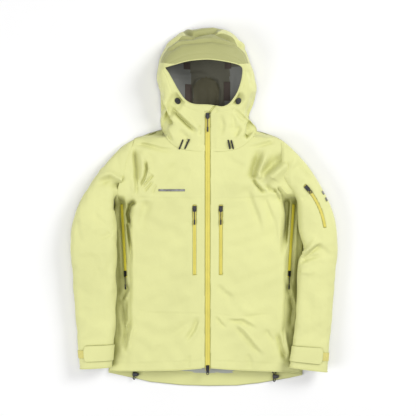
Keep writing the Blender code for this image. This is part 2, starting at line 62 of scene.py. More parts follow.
# The camera looks straight down, and frames a width on the plane at that height. In metres.
CAMERA_Z = 3.24
FRAMED_Z = 0.03
FRAMED_WIDTH = 1.144
SENSOR_WIDTH_MM = 36

# The front zip lies on a straight line that rises towards the collar.
ZIP_X = 10.0
ZIP_LOW_Y = -441
ZIP_LOW_Z = 28
ZIP_LENGTH = 722
ZIP_RISE = 38
# The chest zips lie this far to each side of it, and the bed that it lies in ends in the collar.
CHEST_ZIP_ASIDE = 36
BED_END_Y = 262
BED_DEPTH = 1.9


# ---------------------------------------------------------------- numbers

def lerp(a, b, t):
    return a + (b - a) * t


def smooth(t):
    t = np.clip(t, 0, 1)
    return t * t * (3 - 2 * t)


def table(rows, value):
    return np.interp(value, [row[0] for row in rows], [row[1] for row in rows])


def grid(down, across):
    """Two arrays of the same shape: one changes from row to row, the other from column to column."""
    return np.meshgrid(down, across, indexing="ij")


def spline(points, shares, closed=False):
    """Points on the smooth curve through equally weighted points, with shares from 0 to 1."""
    points = np.array(points, float)
    count = len(points)
    spans = count if closed else count - 1
    place = np.clip(shares, 0, 1) * spans
    i = np.minimum(place.astype(int), spans - 1)
    f = (place - i)[:, None]
    if closed:
        a, b, c, d = (points[(i + k) % count] for k in (-1, 0, 1, 2))
    else:
        a, b, c, d = (points[np.clip(i + k, 0, count - 1)] for k in (-1, 0, 1, 2))
    return 0.5 * (2 * b + (c - a) * f + (2 * a - 5 * b + 4 * c - d) * f**2 + (3 * b - a - 3 * c + d) * f**3)


def waves(x, y, scale, seed, count=12):
    """Smooth unevenness of about that scale, between about -1 and 1."""
    rng = np.random.default_rng(seed)
    total = np.zeros_like(x)
    for _ in range(count):
        turn, length, phase = rng.uniform(0, 2 * math.pi), scale * rng.uniform(0.6, 1.7), rng.uniform(0, 6.3)
        total = total + np.sin(2 * math.pi * (x * math.cos(turn) + y * math.sin(turn)) / length + phase)
    return total / math.sqrt(count) * 0.8


def distance_to(x, y, points):
    """Signed distance from a line of points, positive to its right, and how far along it each place is."""
    points = np.array(points, float)
    lengths = np.hypot(*(points[1:] - points[:-1]).T)
    starts = np.concatenate([[0], np.cumsum(lengths)])
    best = np.full(x.shape, 1e9)
    signed, along = np.zeros(x.shape), np.zeros(x.shape)
    for (ax, ay), (bx, by), length, start in zip(points[:-1], points[1:], lengths, starts):
        ux, uy = (bx - ax) / length, (by - ay) / length
        t = np.clip((x - ax) * ux + (y - ay) * uy, 0, length)
        dx, dy = x - ax - t * ux, y - ay - t * uy
        d = np.hypot(dx, dy)
        near = d < best
        best = np.where(near, d, best)
        signed = np.where(near, np.where(dx * uy - dy * ux >= 0, d, -d), signed)
        along = np.where(near, (start + t) / starts[-1], along)
    return signed, along


def fold(x, y, points, width, height, lean=0.0, tight=1.0, ends=(0.3, 0.4)):
    """The height that a fold along a line of points adds.

    With lean 0 it is a ridge, or a valley where height is negative. With lean 1 it is a ridge on
    the right of the line and a valley on its left. tight below 1 makes the left flank steeper.
    ends are the shares of the line over which it fades in and out.
    """
    d, along = distance_to(x, y, points)
    d = np.where(d < 0, d / tight, d) / width
    fade = smooth(along / max(ends[0], 1e-6)) if ends[0] else 1.0
    fade = fade * (smooth((1 - along) / max(ends[1], 1e-6)) if ends[1] else 1.0)
    hump = np.exp(-d * d)
    pair = d * np.exp(0.5 - 0.5 * d * d)
    return height * fade * ((1 - abs(lean)) * hump + lean * pair)


def folds(x, y, rows):
    """The folds of a table together. A row holds what fold takes after x and y."""
    total = np.zeros_like(x)
    for row in rows:
        total = total + fold(x, y, *row)
    return total


# ---------------------------------------------------------------- makers of pieces

FINISHED = {}


def finish_mesh(name, verts, faces, *materials):
    mesh = bpy.data.meshes.new(name)
    mesh.from_pydata([tuple(v) for v in (np.asarray(verts) * MM).tolist()], [], faces)
    mesh.update()
    mesh.shade_smooth()
    for slot_material in materials:
        mesh.materials.append(slot_material)
    obj = bpy.data.objects.new(name, mesh)
    bpy.context.scene.collection.objects.link(obj)
    return obj


def grid_faces(rows, columns, wrap=False, flip=False):
    """Quads of a grid with that many rows and columns of points. wrap joins the last column to the first."""
    last = columns if wrap else columns - 1
    r, c = np.meshgrid(np.arange(rows - 1), np.arange(last), indexing="ij")
    n = (c + 1) % columns
    quads = np.stack([r * columns + c, r * columns + n, (r + 1) * columns + n, (r + 1) * columns + c], -1)
    quads = quads.reshape(-1, 4)
    return (quads[:, ::-1] if flip else quads).tolist()


def wall(name, points, materials, thickness, wrap=False, flip=False, inner=1):
    """A cloth wall on a grid of points, as thick as that in millimetres.

    Faces of material i on the outside have material i + inner on the inside.
    """
    rows, columns = points.shape[:2]
    obj = finish_mesh(name, points.reshape(-1, 3), grid_faces(rows, columns, wrap, flip), *materials)
    solid = obj.modifiers.new("wall", "SOLIDIFY")
    solid.thickness = thickness * MM
    solid.offset = -1.0
    solid.material_offset = inner if len(materials) > 1 else 0
    return obj


def normals_of(points, wrap=False):
    """Unit normals of a grid of points, from its rows and columns."""
    if wrap:
        across = np.roll(points, -1, 1) - np.roll(points, 1, 1)
    else:
        across = np.gradient(points, axis=1)
    along = np.gradient(points, axis=0)
    n = np.cross(across, along)
    return n / np.maximum(np.linalg.norm(n, axis=2, keepdims=True), 1e-9)


def sweep(name, path, up, section, materials, closed=False):
    """A closed outline of (across, up) points carried along a path. closed joins the path's ends."""
    path, section = np.array(path, float), np.array(section, float)
    ups = np.broadcast_to(np.array(up, float), path.shape)
    along = np.roll(path, -1, 0) - np.roll(path, 1, 0) if closed else np.gradient(path, axis=0)
    along /= np.maximum(np.linalg.norm(along, axis=1, keepdims=True), 1e-9)
    across = np.cross(along, ups)
    across /= np.maximum(np.linalg.norm(across, axis=1, keepdims=True), 1e-9)
    ups = np.cross(across, along)
    rings = path[:, None] + across[:, None] * section[None, :, :1] + ups[:, None] * section[None, :, 1:]
    count, sides = len(path), len(section)
    verts = rings.reshape(-1, 3)
    if closed:
        rings_looped = np.concatenate([rings, rings[:1]])
        faces = [[v % (count * sides) for v in face] for face in grid_faces(len(rings_looped), sides, True)]
    else:
        faces = grid_faces(count, sides, True)
        faces.append(list(range(sides))[::-1])
        faces.append([(count - 1) * sides + i for i in range(sides)])
    obj = finish_mesh(name, verts, faces, *materials)
    build = bmesh.new()
    build.from_mesh(obj.data)
    bmesh.ops.recalc_face_normals(build, faces=build.faces)
    build.to_mesh(obj.data)
    build.free()
    return obj


def band_section(width, height, lift):
    """The outline of a flat band with softened edges."""
    h = width / 2
    top = lift + height
    shoulder = lift + height * 0.7
    return [(-h, lift), (-h, shoulder), (-h + 0.4, top), (0, top + 0.25), (h - 0.4, top), (h, shoulder),
            (h, lift)]


def round_section(radius, sides=10):
    return [(radius * math.cos(2 * math.pi * i / sides), radius * math.sin(2 * math.pi * i / sides))
            for i in range(sides)]


def softened(values, rounds, wrap):
    """A grid of offsets, averaged with its neighbours that many times."""
    for _ in range(rounds):
        values = np.pad(values, ((1, 1), (0, 0), (0, 0)), "edge")
        values = (values[:-2] + 2 * values[1:-1] + values[2:]) / 4
        values = np.pad(values, ((0, 0), (1, 1), (0, 0)), "wrap" if wrap else "edge")
        values = (values[:, :-2] + 2 * values[:, 1:-1] + values[:, 2:]) / 4
    return values


CLOTH_FRAMES = 14


def wrinkles(name, points, hold, every, growth, cap, wrap=False):
    """Offsets for a grid of points, from a cloth simulation of the same surface cut slightly too large.

    hold is 1 where a seam or a stiff part keeps the cloth in place. every is the step between the
    simulated rows and columns, and cap is the most that a point may move.
    """
    rows, columns = points.shape[:2]
    r = np.unique(np.append(np.arange(0, rows, every[0]), rows - 1))
    c = np.arange(0, columns, every[1])
    if not wrap:
        c = np.unique(np.append(c, columns - 1))
    coarse = points[np.ix_(r, c)]
    obj = finish_mesh(f"{name}_cloth", coarse.reshape(-1, 3), grid_faces(len(r), len(c), wrap))
    group = obj.vertex_groups.new(name="held")
    for i, weight in enumerate((0.38 + 0.62 * hold[np.ix_(r, c)]).ravel()):
        group.add([i], float(weight), "REPLACE")
    cloth = obj.modifiers.new("cloth", "CLOTH")
    cloth.settings.quality = 6
    cloth.settings.mass = 0.15
    cloth.settings.tension_stiffness = cloth.settings.compression_stiffness = 25
    cloth.settings.shear_stiffness = 8
    cloth.settings.bending_stiffness = 6.0
    cloth.settings.vertex_group_mass = "held"
    cloth.settings.shrink_min = -growth
    cloth.settings.effector_weights.gravity = 0.0
    cloth.collision_settings.use_collision = False
    for step in range(1, CLOTH_FRAMES + 1):
        bpy.context.scene.frame_set(step)
    shaped = obj.evaluated_get(bpy.context.evaluated_depsgraph_get())
    mesh = shaped.to_mesh()
    places = np.empty(len(mesh.vertices) * 3, np.float32)
    mesh.vertices.foreach_get("co", places)
    shaped.to_mesh_clear()
    moved = places.astype(float).reshape(coarse.shape) / MM - coarse
    bpy.data.objects.remove(obj)
    bpy.context.scene.frame_set(1)
    size = np.linalg.norm(moved, axis=2, keepdims=True)
    print(f"{name} cloth moved {size.mean():.2f} mm on average and {size.max():.2f} at most")
    moved = moved * cap / np.sqrt(cap**2 + size**2)
    if wrap:
        c, moved = np.append(c, columns), np.concatenate([moved, moved[:, :1]], 1)
    by_row = np.stack([[np.interp(np.arange(rows), r, moved[:, j, k]) for j in range(len(c))]
                       for k in range(3)], -1).transpose(1, 0, 2)
    full = np.stack([[np.interp(np.arange(columns), c, by_row[i, :, k]) for i in range(rows)]
                     for k in range(3)], -1)
    return softened(full, 3 * max(every), wrap) * (1 - hold)[..., None]


# ---------------------------------------------------------------- materials

class Look:
    """A material of shader nodes on the object's own coordinates."""

    def __init__(self, name):
        self.material = bpy.data.materials.new(name)
        self.material.use_nodes = True
        self.tree = self.material.node_tree
        self.shader = self.tree.nodes["Principled BSDF"]
        self.place = self.node("ShaderNodeTexCoord").outputs["Object"]

    def feed(self, node, inputs):
        """Gives a node's inputs their numbers, or the sockets that they are linked to."""
        for name, value in inputs.items():
            if isinstance(value, bpy.types.NodeSocket):
                self.tree.links.new(value, node.inputs[name])
            else:
                node.inputs[name].default_value = value

    def shade(self, inputs):
        self.feed(self.shader, inputs)

    def node(self, kind, inputs=None, **settings):
        made = self.tree.nodes.new(kind)
        for setting, value in settings.items():
            setattr(made, setting, value)
        self.feed(made, inputs or {})
        return made

    def noise(self, scale, detail):
        inputs = {"Vector": self.place, "Scale": scale, "Detail": detail, "Roughness": 0.5}
        return self.node("ShaderNodeTexNoise", inputs).outputs["Fac"]

    def ramp(self, factor, stops):
        """A colour ramp with (position, colour) stops."""
        made = self.node("ShaderNodeValToRGB", {"Fac": factor})
        elements = made.color_ramp.elements
        while len(elements) < len(stops):
            elements.new(0.5)
        for element, (position, colour) in zip(elements, stops):
            element.position = position
            element.color = (*colour, 1)
        return made.outputs["Color"]

    def multiplied(self, first, second):
        inputs = {"Factor": 1.0, "A": first, "B": second}
        made = self.node("ShaderNodeMix", inputs, data_type="RGBA", blend_type="MULTIPLY")
        return made.outputs["Result"]

    def bands(self, direction, pitch, distortion, detail):
        """Parallel ribs, two to each pitch in metres."""
        inputs = {"Vector": self.place, "Scale": 1 / (math.pi * pitch), "Distortion": distortion,
                  "Detail": detail}
        made = self.node("ShaderNodeTexWave", inputs, wave_type="BANDS", bands_direction=direction)
        return made.outputs["Fac"]

    def weave(self, pitch):
        """Height of a plain weave: two sets of threads at right angles."""
        inputs = {i: self.bands(direction, pitch, 0.4, 1.0) for i, direction in enumerate("XY")}
        return self.node("ShaderNodeMath", inputs, operation="MULTIPLY").outputs["Value"]

    def uneven_roughness(self, scale, detail, low, high):
        inputs = {"Value": self.noise(scale, detail), "To Min": low, "To Max": high}
        self.shade({"Roughness": self.node("ShaderNodeMapRange", inputs).outputs["Result"]})

    def bumps(self, *rows):
        """Bump from (height socket, strength, distance) rows, one after another."""
        normal = {}
        for height, strength, distance in rows:
            inputs = {"Height": height, "Strength": strength, "Distance": distance, **normal}
            normal = {"Normal": self.node("ShaderNodeBump", inputs).outputs["Normal"]}
        self.shade(normal)


def scaled(colour, factor):
    return tuple(min(c * factor, 1.0) for c in colour)


def cloth_material(name, colour, roughness, spread=0.035, pitch=0.0009, crumple=0.25):
    """Woven cloth: uneven colour, painted shade in its folds and hollows, a fine weave, small creases and a
    soft sheen.
    """
    look = Look(name)
    uneven = look.ramp(look.noise(9, 2), [(0.3, scaled(colour, 1 - spread)),
                                          (0.7, scaled(colour, 1 + spread))])
    specks = look.ramp(look.noise(1400, 1), [(0.25, (0.95, 0.95, 0.94)), (0.7, (1, 1, 1))])
    # Painted shade: ambient occlusion darkens the base colour towards olive where other cloth is near, in
    # folds, hollows and the gaps between parts.
    fold_occlusion = look.node("ShaderNodeAmbientOcclusion", {"Distance": 0.035}, samples=8).outputs["AO"]
    painted_fold_shade = look.ramp(fold_occlusion, [(0.25, (0.42, 0.42, 0.20)), (0.6, (0.78, 0.78, 0.68)), (0.9, (1, 1, 1))])
    look.shade({"Base Color": look.multiplied(look.multiplied(uneven, specks), painted_fold_shade),
                "Specular IOR Level": 0.3, "Sheen Weight": 0.15, "Sheen Roughness": 0.5})
    look.uneven_roughness(60, 2, roughness - 0.06, roughness + 0.06)
    look.bumps((look.noise(30, 3), crumple, 0.004), (look.noise(120, 2), crumple, 0.0008),
               (look.weave(pitch), 0.35, 0.0001))
    return look.material


def coated_material(name, colour):
    """The smooth coating of a waterproof zip, with the coil showing through as fine cross ribs."""
    look = Look(name)
    look.shade({"Base Color": look.ramp(look.noise(25, 2), [(0.3, scaled(colour, 0.94)),
                                                            (0.7, scaled(colour, 1.05))]),
                "Roughness": 0.42, "Specular IOR Level": 0.4})
    look.bumps((look.bands("Y", 0.0016, 0.2, 2.0), 0.25, 0.0003), (look.noise(90, 2), 0.2, 0.0005))
    return look.material


def plastic_material(name, colour, roughness, metallic=0.0):
    """Moulded plastic or coated metal, with a fine grain and rubbed patches."""
    look = Look(name)
    look.shade({"Base Color": look.ramp(look.noise(160, 3), [(0.35, scaled(colour, 0.7)),
                                                             (0.75, scaled(colour, 1.7))]),
                "Metallic": metallic})
    look.uneven_roughness(300, 3, roughness - 0.08, roughness + 0.1)
    look.bumps((look.noise(1200, 2), 0.15, 0.00015))
    return look.material


def pile_material(name, colour, scale=900, strength=0.6, roughness=0.85):
    """Hook-and-loop pile, or braided cord: a coarse tight grain."""
    look = Look(name)
    grain = look.node("ShaderNodeTexVoronoi", {"Vector": look.place, "Scale": scale}).outputs["Distance"]
    look.shade({"Base Color": look.ramp(grain, [(0.0, scaled(colour, 1.12)), (0.6, scaled(colour, 0.72))]),
                "Roughness": roughness, "Sheen Weight": 0.2})
    look.bumps((grain, strength, 0.0006))
    return look.material


LIME = (0.735, 0.742, 0.335)
SHELL = cloth_material("shell_cloth", LIME, 0.6)
# Painted shade: the shell's cloth made darker for the brim and the crown, which tilt away from the lamps.
BRIM_AND_CROWN_SHADE = cloth_material("brim_and_crown_painted_shade_cloth", (0.435, 0.44, 0.185), 0.55, crumple=0.12)
FACING = cloth_material("facing_cloth", (0.70, 0.71, 0.31), 0.6)
LINING = cloth_material("lining_cloth", (0.46, 0.48, 0.45), 0.7, pitch=0.0012)
# Painted shade: the hood's inside is the grey lining made dark, for the shade inside the hood.
HOOD_LINING_SHADE = cloth_material("hood_lining_painted_shade_cloth", (0.125, 0.122, 0.09), 0.75, spread=0.12, pitch=0.0012)
PATCH = cloth_material("patch_cloth", (0.085, 0.065, 0.055), 0.8, pitch=0.0015, crumple=0.1)
ZIP = coated_material("zip_coating", (0.72, 0.63, 0.115))
PIT_ZIP = coated_material("vent_zip_coating", (0.72, 0.63, 0.05))
# Painted shade on the hood's inside: darkest on its middle panel, and less dark at its sides, where more
# light reaches in.
HOOD_PANEL_SHADE = cloth_material("hood_panel_painted_shade_cloth", (0.095, 0.088, 0.05), 0.7, spread=0.2, pitch=0.0012)
HOOD_SIDE_HALF_SHADE = cloth_material("hood_side_lining_painted_half_shade_cloth", (0.205, 0.21, 0.195), 0.75, spread=0.12, pitch=0.0012)
HOOK = pile_material("hook_pile", (0.88, 0.80, 0.25))
PRINT = plastic_material("reflective_print", (0.20, 0.20, 0.21), 0.4, 0.2)
BLACK = plastic_material("black_moulding", (0.018, 0.018, 0.02), 0.42)
METAL = plastic_material("black_coated_metal", (0.022, 0.022, 0.024), 0.36, 0.6)
CORD = pile_material("black_braid", (0.02, 0.02, 0.022), 1600, 0.8, 0.7)
THREAD = pile_material("thread", (0.62, 0.62, 0.26), 2500, 0.6, 0.7)


# ---------------------------------------------------------------- the body's shape

# Half the front's width and its middle, by the share of the way from the hem (0) to the neck (1).
WIDTHS = [(0.0, 269), (0.17, 258), (0.35, 260), (0.53, 263), (0.68, 263), (0.76, 246), (0.83, 232),
          (0.915, 214), (0.96, 200), (0.985, 165), (1.0, 131.5), (1.1, 120)]
MIDDLES = [(0.0, 4), (0.17, 7), (0.35, 11), (0.53, 12), (0.70, 12), (0.96, 10), (1.0, 14.5)]
# Y by X along the neck seam, the front's hem and the tail's hem.
NECK = [(-117, 216), (-114, 196), (-100, 178), (-71, 162), (-30, 155), (11, 153), (60, 154), (94, 160),
        (120, 181), (146, 212)]
FRONT_HEM = [(-267, -452), (-190, -450), (-80, -448), (11, -441), (90, -447), (236, -453), (275, -462)]
TAIL = [(-267, -457), (-235, -464), (-148, -484), (-60, -493), (11, -495), (90, -494), (154, -487),
        (235, -473), (275, -464)]


def zip_height(y):
    return ZIP_LOW_Z + ZIP_RISE * (y - ZIP_LOW_Y) / ZIP_LENGTH


def body_xy(s, t, low):
    """Places on the body: s from -1 to 1 across and t from 0 at the hem to 1 at the neck."""
    x = table(MIDDLES, t) + s * table(WIDTHS, t)
    hem = table(low, table(MIDDLES, 0) + s * table(WIDTHS, 0))
    neck = table(NECK, table(MIDDLES, 1) + s * table(WIDTHS, 1))
    return x, lerp(hem, neck, t)


def edge_height(x, y):
    """Height of the body's side edge: low beside the sleeve, and level with its top at the armhole."""
    across = np.clip(np.abs((y - 108) / 96), 0, 1)
    arm = 27 + np.where(x < 0, 31, 34) * np.sqrt(1 - across**2.4)
    start = np.where(x < 0, 6 - 0.40 * (x + 244), 22)
    return lerp(lerp(3.0, arm, smooth((y - start + 8) / 26)), 4.0, smooth((y - 190) / 14))


def body_height(s, t, x, y):
    """Height of the smooth front, before its folds."""
    a = np.abs(s)
    top = zip_height(np.minimum(y, 215))
    crown = np.sqrt(np.maximum(1 - a**5, 0))
    low = table([(0, 1), (0.3, 1), (0.5, 0.985), (0.65, 0.95), (0.74, 0.91), (0.785, 0.86), (0.805, 0.76),
                 (0.825, 0.52), (0.95, 0.05), (1.0, 0)], a)
    flare = smooth((y + 330) / -90)
    low = lerp(low, crown * (1 - 0.15 * smooth((a - 0.75) / 0.1)), flare)
    high = np.maximum(1 - a**3.2, 0) ** 0.6
    share = lerp(low, high, smooth(y / 70))
    edge = edge_height(x, y)
    return edge + (top - edge) * share


BODY_FOLDS = [
    # Down the wearer's right armhole, and the creases beside it.
    ([(-196, 174), (-189, 110), (-187, 50), (-191, 24)], 6, 3.4, 0.9, 0.6, (0.1, 0.2)),
    ([(-182, 168), (-175, 112), (-172, 56)], 12, 5.5, -0.9, 1, (0.25, 0.3)),
    ([(-134, 210), (-127, 200), (-122, 186)], 4, -6.0, 0.3, 0.7, (0.15, 0.3)),
    ([(-144, 204), (-136, 194), (-132, 184)], 3, -3.5, 0.3, 0.7, (0.2, 0.3)),
    ([(150, 206), (146, 198), (142, 190)], 3.5, -4.5, 0.2, 1, (0.15, 0.4)),
    ([(-158, 136), (-153, 105), (-160, 78), (-178, 50)], 4.5, -8.5, 0.35, 0.6, (0.25, 0.3)),
    ([(-150, 98), (-139, 86), (-157, 66), (-176, 48)], 3, -4.0, 0.3, 1, (0.3, 0.3)),
    ([(-136, 74), (-147, 60), (-164, 40)], 3, -3.6, 0.3, 1, (0.3, 0.3)),
    ([(-128, 66), (-134, 52), (-140, 34)], 3.5, -2.6, 0.2, 1, (0.3, 0.3)),
    ([(-160, 22), (-166, -20), (-178, -80)], 15, -5.5, -0.2, 1, (0.2, 0.6)),
    ([(-120, 30), (-146, -20), (-158, -70)], 14, 1.6, 0, 1, (0.3, 0.5)),
    # From the shoulder to the hood cords.
    ([(-204, 184), (-160, 175), (-111, 162), (-70, 158)], 5.5, -6.5, 0.5, 0.8, (0.15, 0.25)),
    ([(-190, 168), (-160, 148), (-124, 124)], 9, -2.2, 0.1, 1, (0.3, 0.5)),
    ([(192, 190), (150, 179), (106, 168)], 5, 3.6, 0.2, 1, (0.2, 0.3)),
    ([(196, 180), (152, 168), (100, 160)], 4.5, -3.4, 0.1, 1, (0.2, 0.4)),
    # Two deep folds that run from the wearer's left shoulder into the armpit.
    ([(163, 166), (155, 132), (144, 100), (142, 74)], 10, -9.5, 0.95, 1, (0.45, 0.15)),
    ([(129, 86), (144, 64), (160, 46), (178, 40)], 4.5, -7.5, 0.2, 1, (0.25, 0.35)),
    ([(232, 138), (200, 112), (172, 88), (166, 62)], 13, 10.0, -0.9, 1, (0.3, 0.3)),
    ([(168, 66), (182, 50), (204, 42)], 5, -5.0, 0.1, 1, (0.3, 0.3)),
    ([(200, 58), (214, 38), (224, 20)], 3.2, -4.6, 0.1, 1, (0.2, 0.3)),
    ([(192, 52), (204, 30), (213, 12)], 3.2, -4.0, 0.1, 1, (0.2, 0.3)),
    ([(206, 60), (222, 42), (236, 30)], 3.2, 3.6, 0, 1, (0.2, 0.3)),
    # Soft creases over the chest and down the sides.
    ([(117, 64), (135, 12), (153, -39), (158, -84)], 8, -3.4, 0.5),
    ([(164, 34), (181, -14), (188, -46)], 6, -3.2, 0.3),
    ([(184, 0), (196, -60), (206, -130)], 8, -2.6, 0.3),
    ([(-60, 130), (-100, 90), (-112, 50)], 14, -1.8, 0, 1, (0.4, 0.4)),
    ([(60, 150), (78, 126), (122, 104)], 10, -1.8, 0.2, 1, (0.4, 0.4)),
    ([(16, 60), (90, 70), (140, 50)], 16, 1.2, 0, 1, (0.4, 0.4)),
    # Lower front.
    ([(-12, -300), (-26, -336), (-54, -378)], 6, -5.5, 0.4, 1, (0.2, 0.4)),
    ([(-20, -310), (-60, -330), (-104, -372)], 12, -2.0, 0.2),
    ([(30, -206), (60, -236), (90, -252)], 8, -3.0, 0.3),
    ([(58, -308), (106, -310), (152, -336)], 5, -3.8, 0.5),
    ([(78, -316), (114, -352), (140, -384), (170, -414)], 6, -4.4, 0.5, 1, (0.25, 0.35)),
    ([(30, -296), (46, -318), (64, -334)], 5, -3.6, 0.2),
    ([(166, -330), (182, -354), (200, -380)], 6, -3.0, 0.2),
    ([(96, -262), (110, -280), (150, -296)], 10, 1.8, 0),
    ([(-150, -320), (-158, -380), (-150, -430)], 14, -1.6, 0),
    ([(120, -400), (128, -425), (126, -445)], 6, -2.0, 0.2, 1, (0.3, 0.2)),
    ([(-36, -404), (-44, -430), (-42, -446)], 6, -1.8, 0.2, 1, (0.3, 0.2)),
    ([(-190, -318), (-200, -350), (-210, -396)], 5, 4.0, 0.3, 1, (0.3, 0.3)),
    # The side panels, deep beside the sleeves.
    ([(-186, 18), (-202, 6), (-209, -18), (-205, -46), (-200, -60)], 6.5, -18.0, 0.1, 0.8, (0.12, 0.3)),
    ([(-216, -36), (-207, -64), (-200, -104), (-197, -170)], 4.5, -13.0, 0.2, 0.8, (0.15, 0.6)),
    ([(-230, 16), (-220, -22), (-206, -54)], 4.5, 5.0, 0, 1, (0.2, 0.3)),
    ([(-243, 26), (-228, 18), (-214, 10)], 4, -8.0, 0, 1, (0.1, 0.3)),
    ([(-238, 6), (-236, -30), (-232, -70)], 4, -5.0, 0, 1, (0.2, 0.3)),
    ([(-204, -214), (-218, -240), (-228, -262)], 5, -6.0, 0.3, 1, (0.3, 0.3)),
    ([(-212, -250), (-216, -290), (-214, -330)], 5, -7.0, 0.3, 1, (0.3, 0.3)),
    ([(-226, -250), (-224, -300), (-216, -350), (-228, -392)], 5, -6.0, 0.3, 1, (0.3, 0.3)),
    ([(-206, -300), (-210, -350), (-220, -404)], 4.5, -6.0, 0.2, 1, (0.3, 0.3)),
    ([(230, 30), (229, -20), (223, -80), (217, -150)], 8.5, -21.0, 0.05, 1, (0.12, 0.45)),
    ([(250, 0), (246, -60), (238, -120)], 5, 4.0, 0, 1, (0.3, 0.3)),
    ([(226, -170), (230, -210), (240, -250)], 6, -7.0, 0.3, 1, (0.2, 0.3)),
    ([(238, -240), (248, -280), (240, -340)], 6, -7.0, 0.2, 1, (0.2, 0.3)),
    ([(206, -340), (212, -376), (226, -420)], 6, -8.0, 0.35, 1, (0.25, 0.2)),
    ([(222, -330), (228, -368), (238, -416)], 5, 5.0, 0, 1, (0.3, 0.3)),
]

# Seams, drawn as narrow grooves with a low ridge on one side.
BODY_SEAMS = [
    [(-178, 28), (-120, 26), (-6, 26)],
    [(26, 26), (120, 26), (178, 30)],
    [(-178, -281), (-140, -288), (-6, -291)],
    [(26, -291), (90, -300), (178, -291)],
    [(-7, 146), (-6, -60), (-6, -440)],
    [(27, 146), (26, -60), (26, -440)],
    [(-196, 178), (-191, 110), (-186, 50), (-196, 24)],
    [(-258, -428), (-190, -429), (11, -421), (236, -431), (262, -438)],
]


def body_relief(x, y):
    """Everything that the front's cloth does on top of its smooth shape."""
    relief = 1.35 * folds(x, y, BODY_FOLDS)
    for seam in BODY_SEAMS:
        relief = relief + fold(x, y, seam, 2.3, -0.9, 0.35, 1, (0.02, 0.02))
    relief = relief + 0.9 * waves(x, y * 0.6, 120, 3) + 0.35 * waves(x, y, 42, 4)
    calm = smooth((np.abs(x - ZIP_X) - 8) / 26)
    return relief * lerp(0.25, 1, calm)


def vent_zip(name):
    """Where a vent zip starts, its direction, the direction that it faces and its length."""
    joints = {joint["name"]: joint for joint in frame["joints"]}
    direction = np.array(joints[f"pit_zip_{name}"]["axis"])
    outward = np.cross(joints[f"pit_{name}_pull_swing"]["axis"], direction)
    outward *= np.sign(outward[2])
    low, high = (np.array(corner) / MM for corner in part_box(f"pit_zip_tape_{name}"))
    length = (high[1] - low[1]) / direction[1]
    return (low + high) / 2 - direction * length / 2, direction, outward, length


VENT_ZIPS = {"right": vent_zip("right"), "left": vent_zip("left")}


def zip_beds(x, y, z):
    """The narrow beds that the zips lie in."""
    z = np.where((np.abs(x - ZIP_X) < 8.0) & (y < BED_END_Y), z - BED_DEPTH, z)
    for (x0, y0, z0), (ux, uy, uz), outward, length in VENT_ZIPS.values():
        along = (y - y0) / uy
        aside = x - x0 - ux * along
        near = smooth((along + 30) / 26) * smooth((length + 26 - along) / 24)
        near = near * smooth((15 - np.abs(aside)) / 9)
        z = lerp(z, z0 + uz * along - outward[0] / outward[2] * aside - 0.8, near)
    for chest_x in (ZIP_X - CHEST_ZIP_ASIDE, ZIP_X + CHEST_ZIP_ASIDE):
        bed = (np.abs(x - chest_x) < 5.4) & (y > -186) & (y < 8)
        level = zip_height(y) - 1.6
        near = smooth(1 - (np.abs(x - chest_x) - 5) / 22) * smooth((y + 210) / 20) * smooth((34 - y) / 20)
        z = lerp(z, zip_height(y) + 0.5, near)
        z = np.where(bed, level, z)
    return z


def body_surface(s, t):
    x, y = body_xy(s, t, FRONT_HEM)
    z = body_height(s, t, x, y)
    a = np.abs(s)
    edge_fade = smooth((1 - a) / 0.05) * smooth((1 - t) / 0.03)
    z = z + body_relief(x, y) * lerp(0.2, 1, edge_fade)
    z = zip_beds(x, y, z)
    return np.stack([x, y, np.maximum(z, 3.0)], -1)


def make_body():
    # The rows are closer together towards the neck, and go a little way under the collar.
    t, s = grid(1.012 * (1 - (1 - np.linspace(0, 1, 300)) ** 1.25), np.linspace(-1, 1, 270))
    points = body_surface(s, t)
    a = np.abs(s)
    hold = np.maximum.reduce([smooth((a - 0.9) / 0.08), 1 - smooth(t / 0.03), smooth((t - 0.93) / 0.05),
                              1 - smooth((np.abs(points[..., 0] - ZIP_X) - 42) / 10)])
    points = points + wrinkles("front_shell", points, hold, (6, 6), 0.016, 3.6)
    FINISHED["front"] = points
    front = wall("front_shell", points, (SHELL, LINING), 0.9)
    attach(front, "torso")
    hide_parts("front_panel_right", "front_panel_left", "front_yoke_right", "front_yoke_left",
                "side_panel_right", "side_panel_left", "storm_flap", "chest_pocket_bag_right",
                "chest_pocket_bag_left")

    columns = 110
    t, s = grid(np.linspace(0, 1, 120), np.linspace(-1, 1, columns))
    x, y = body_xy(s, t, TAIL)
    share = np.clip((y + 452) / 666, 0, 1)
    tucked = smooth(share / 0.06)
    x = table(MIDDLES, share) + s * (table(WIDTHS, share) - 1.6 * tucked)
    a = np.abs(s)
    rim = np.maximum(edge_height(x, y) - 1.2, 0) * smooth((a - 0.9) / 0.1) ** 1.5
    z = 1.0 + rim + 0.35 * (1 + waves(x, y, 90, 9)) * smooth((1 - a) / 0.1)
    z = z + 15 * np.exp(-((y + 434) / 15) ** 2) * smooth(1 - np.abs(x - ZIP_X) / 125)
    back = wall("back_shell", np.stack([x, y, z], -1), (SHELL, LINING, SHELL, SHELL), 0.9, flip=True)
    # Beside the sleeves the shell's cloth is on both faces.
    for polygon in back.data.polygons:
        row, column = divmod(polygon.index, columns - 1)
        if a[row, column] > 0.8:
            polygon.material_index = 2
    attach(back, "torso")
    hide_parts("back_panel", "collar_back")

    up, share = grid(np.linspace(0, 1, 14), np.linspace(0, 1, 120))
    xs = lerp(-262.0, 268.0, share)
    depth = 36 * smooth(np.minimum(share, 1 - share) / 0.12) + 6
    y = table(TAIL, xs) + 1.0 + depth * up
    z = 3.2 + 0.8 * np.sin(np.pi * up) ** 0.5 + 0.5 * waves(xs, y * 2, 46, 12) * up
    z = z - 1.0 * np.exp(-((up - 0.12) * depth / 1.8) ** 2) - 1.0 * np.exp(-((up - 0.86) * depth / 1.6) ** 2)
    facing = wall("tail_facing", np.stack([xs, y, z], -1), (FACING,), 1.0)
    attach(facing, "torso")
    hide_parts("back_hem_facing")


# ---------------------------------------------------------------- hood and collar

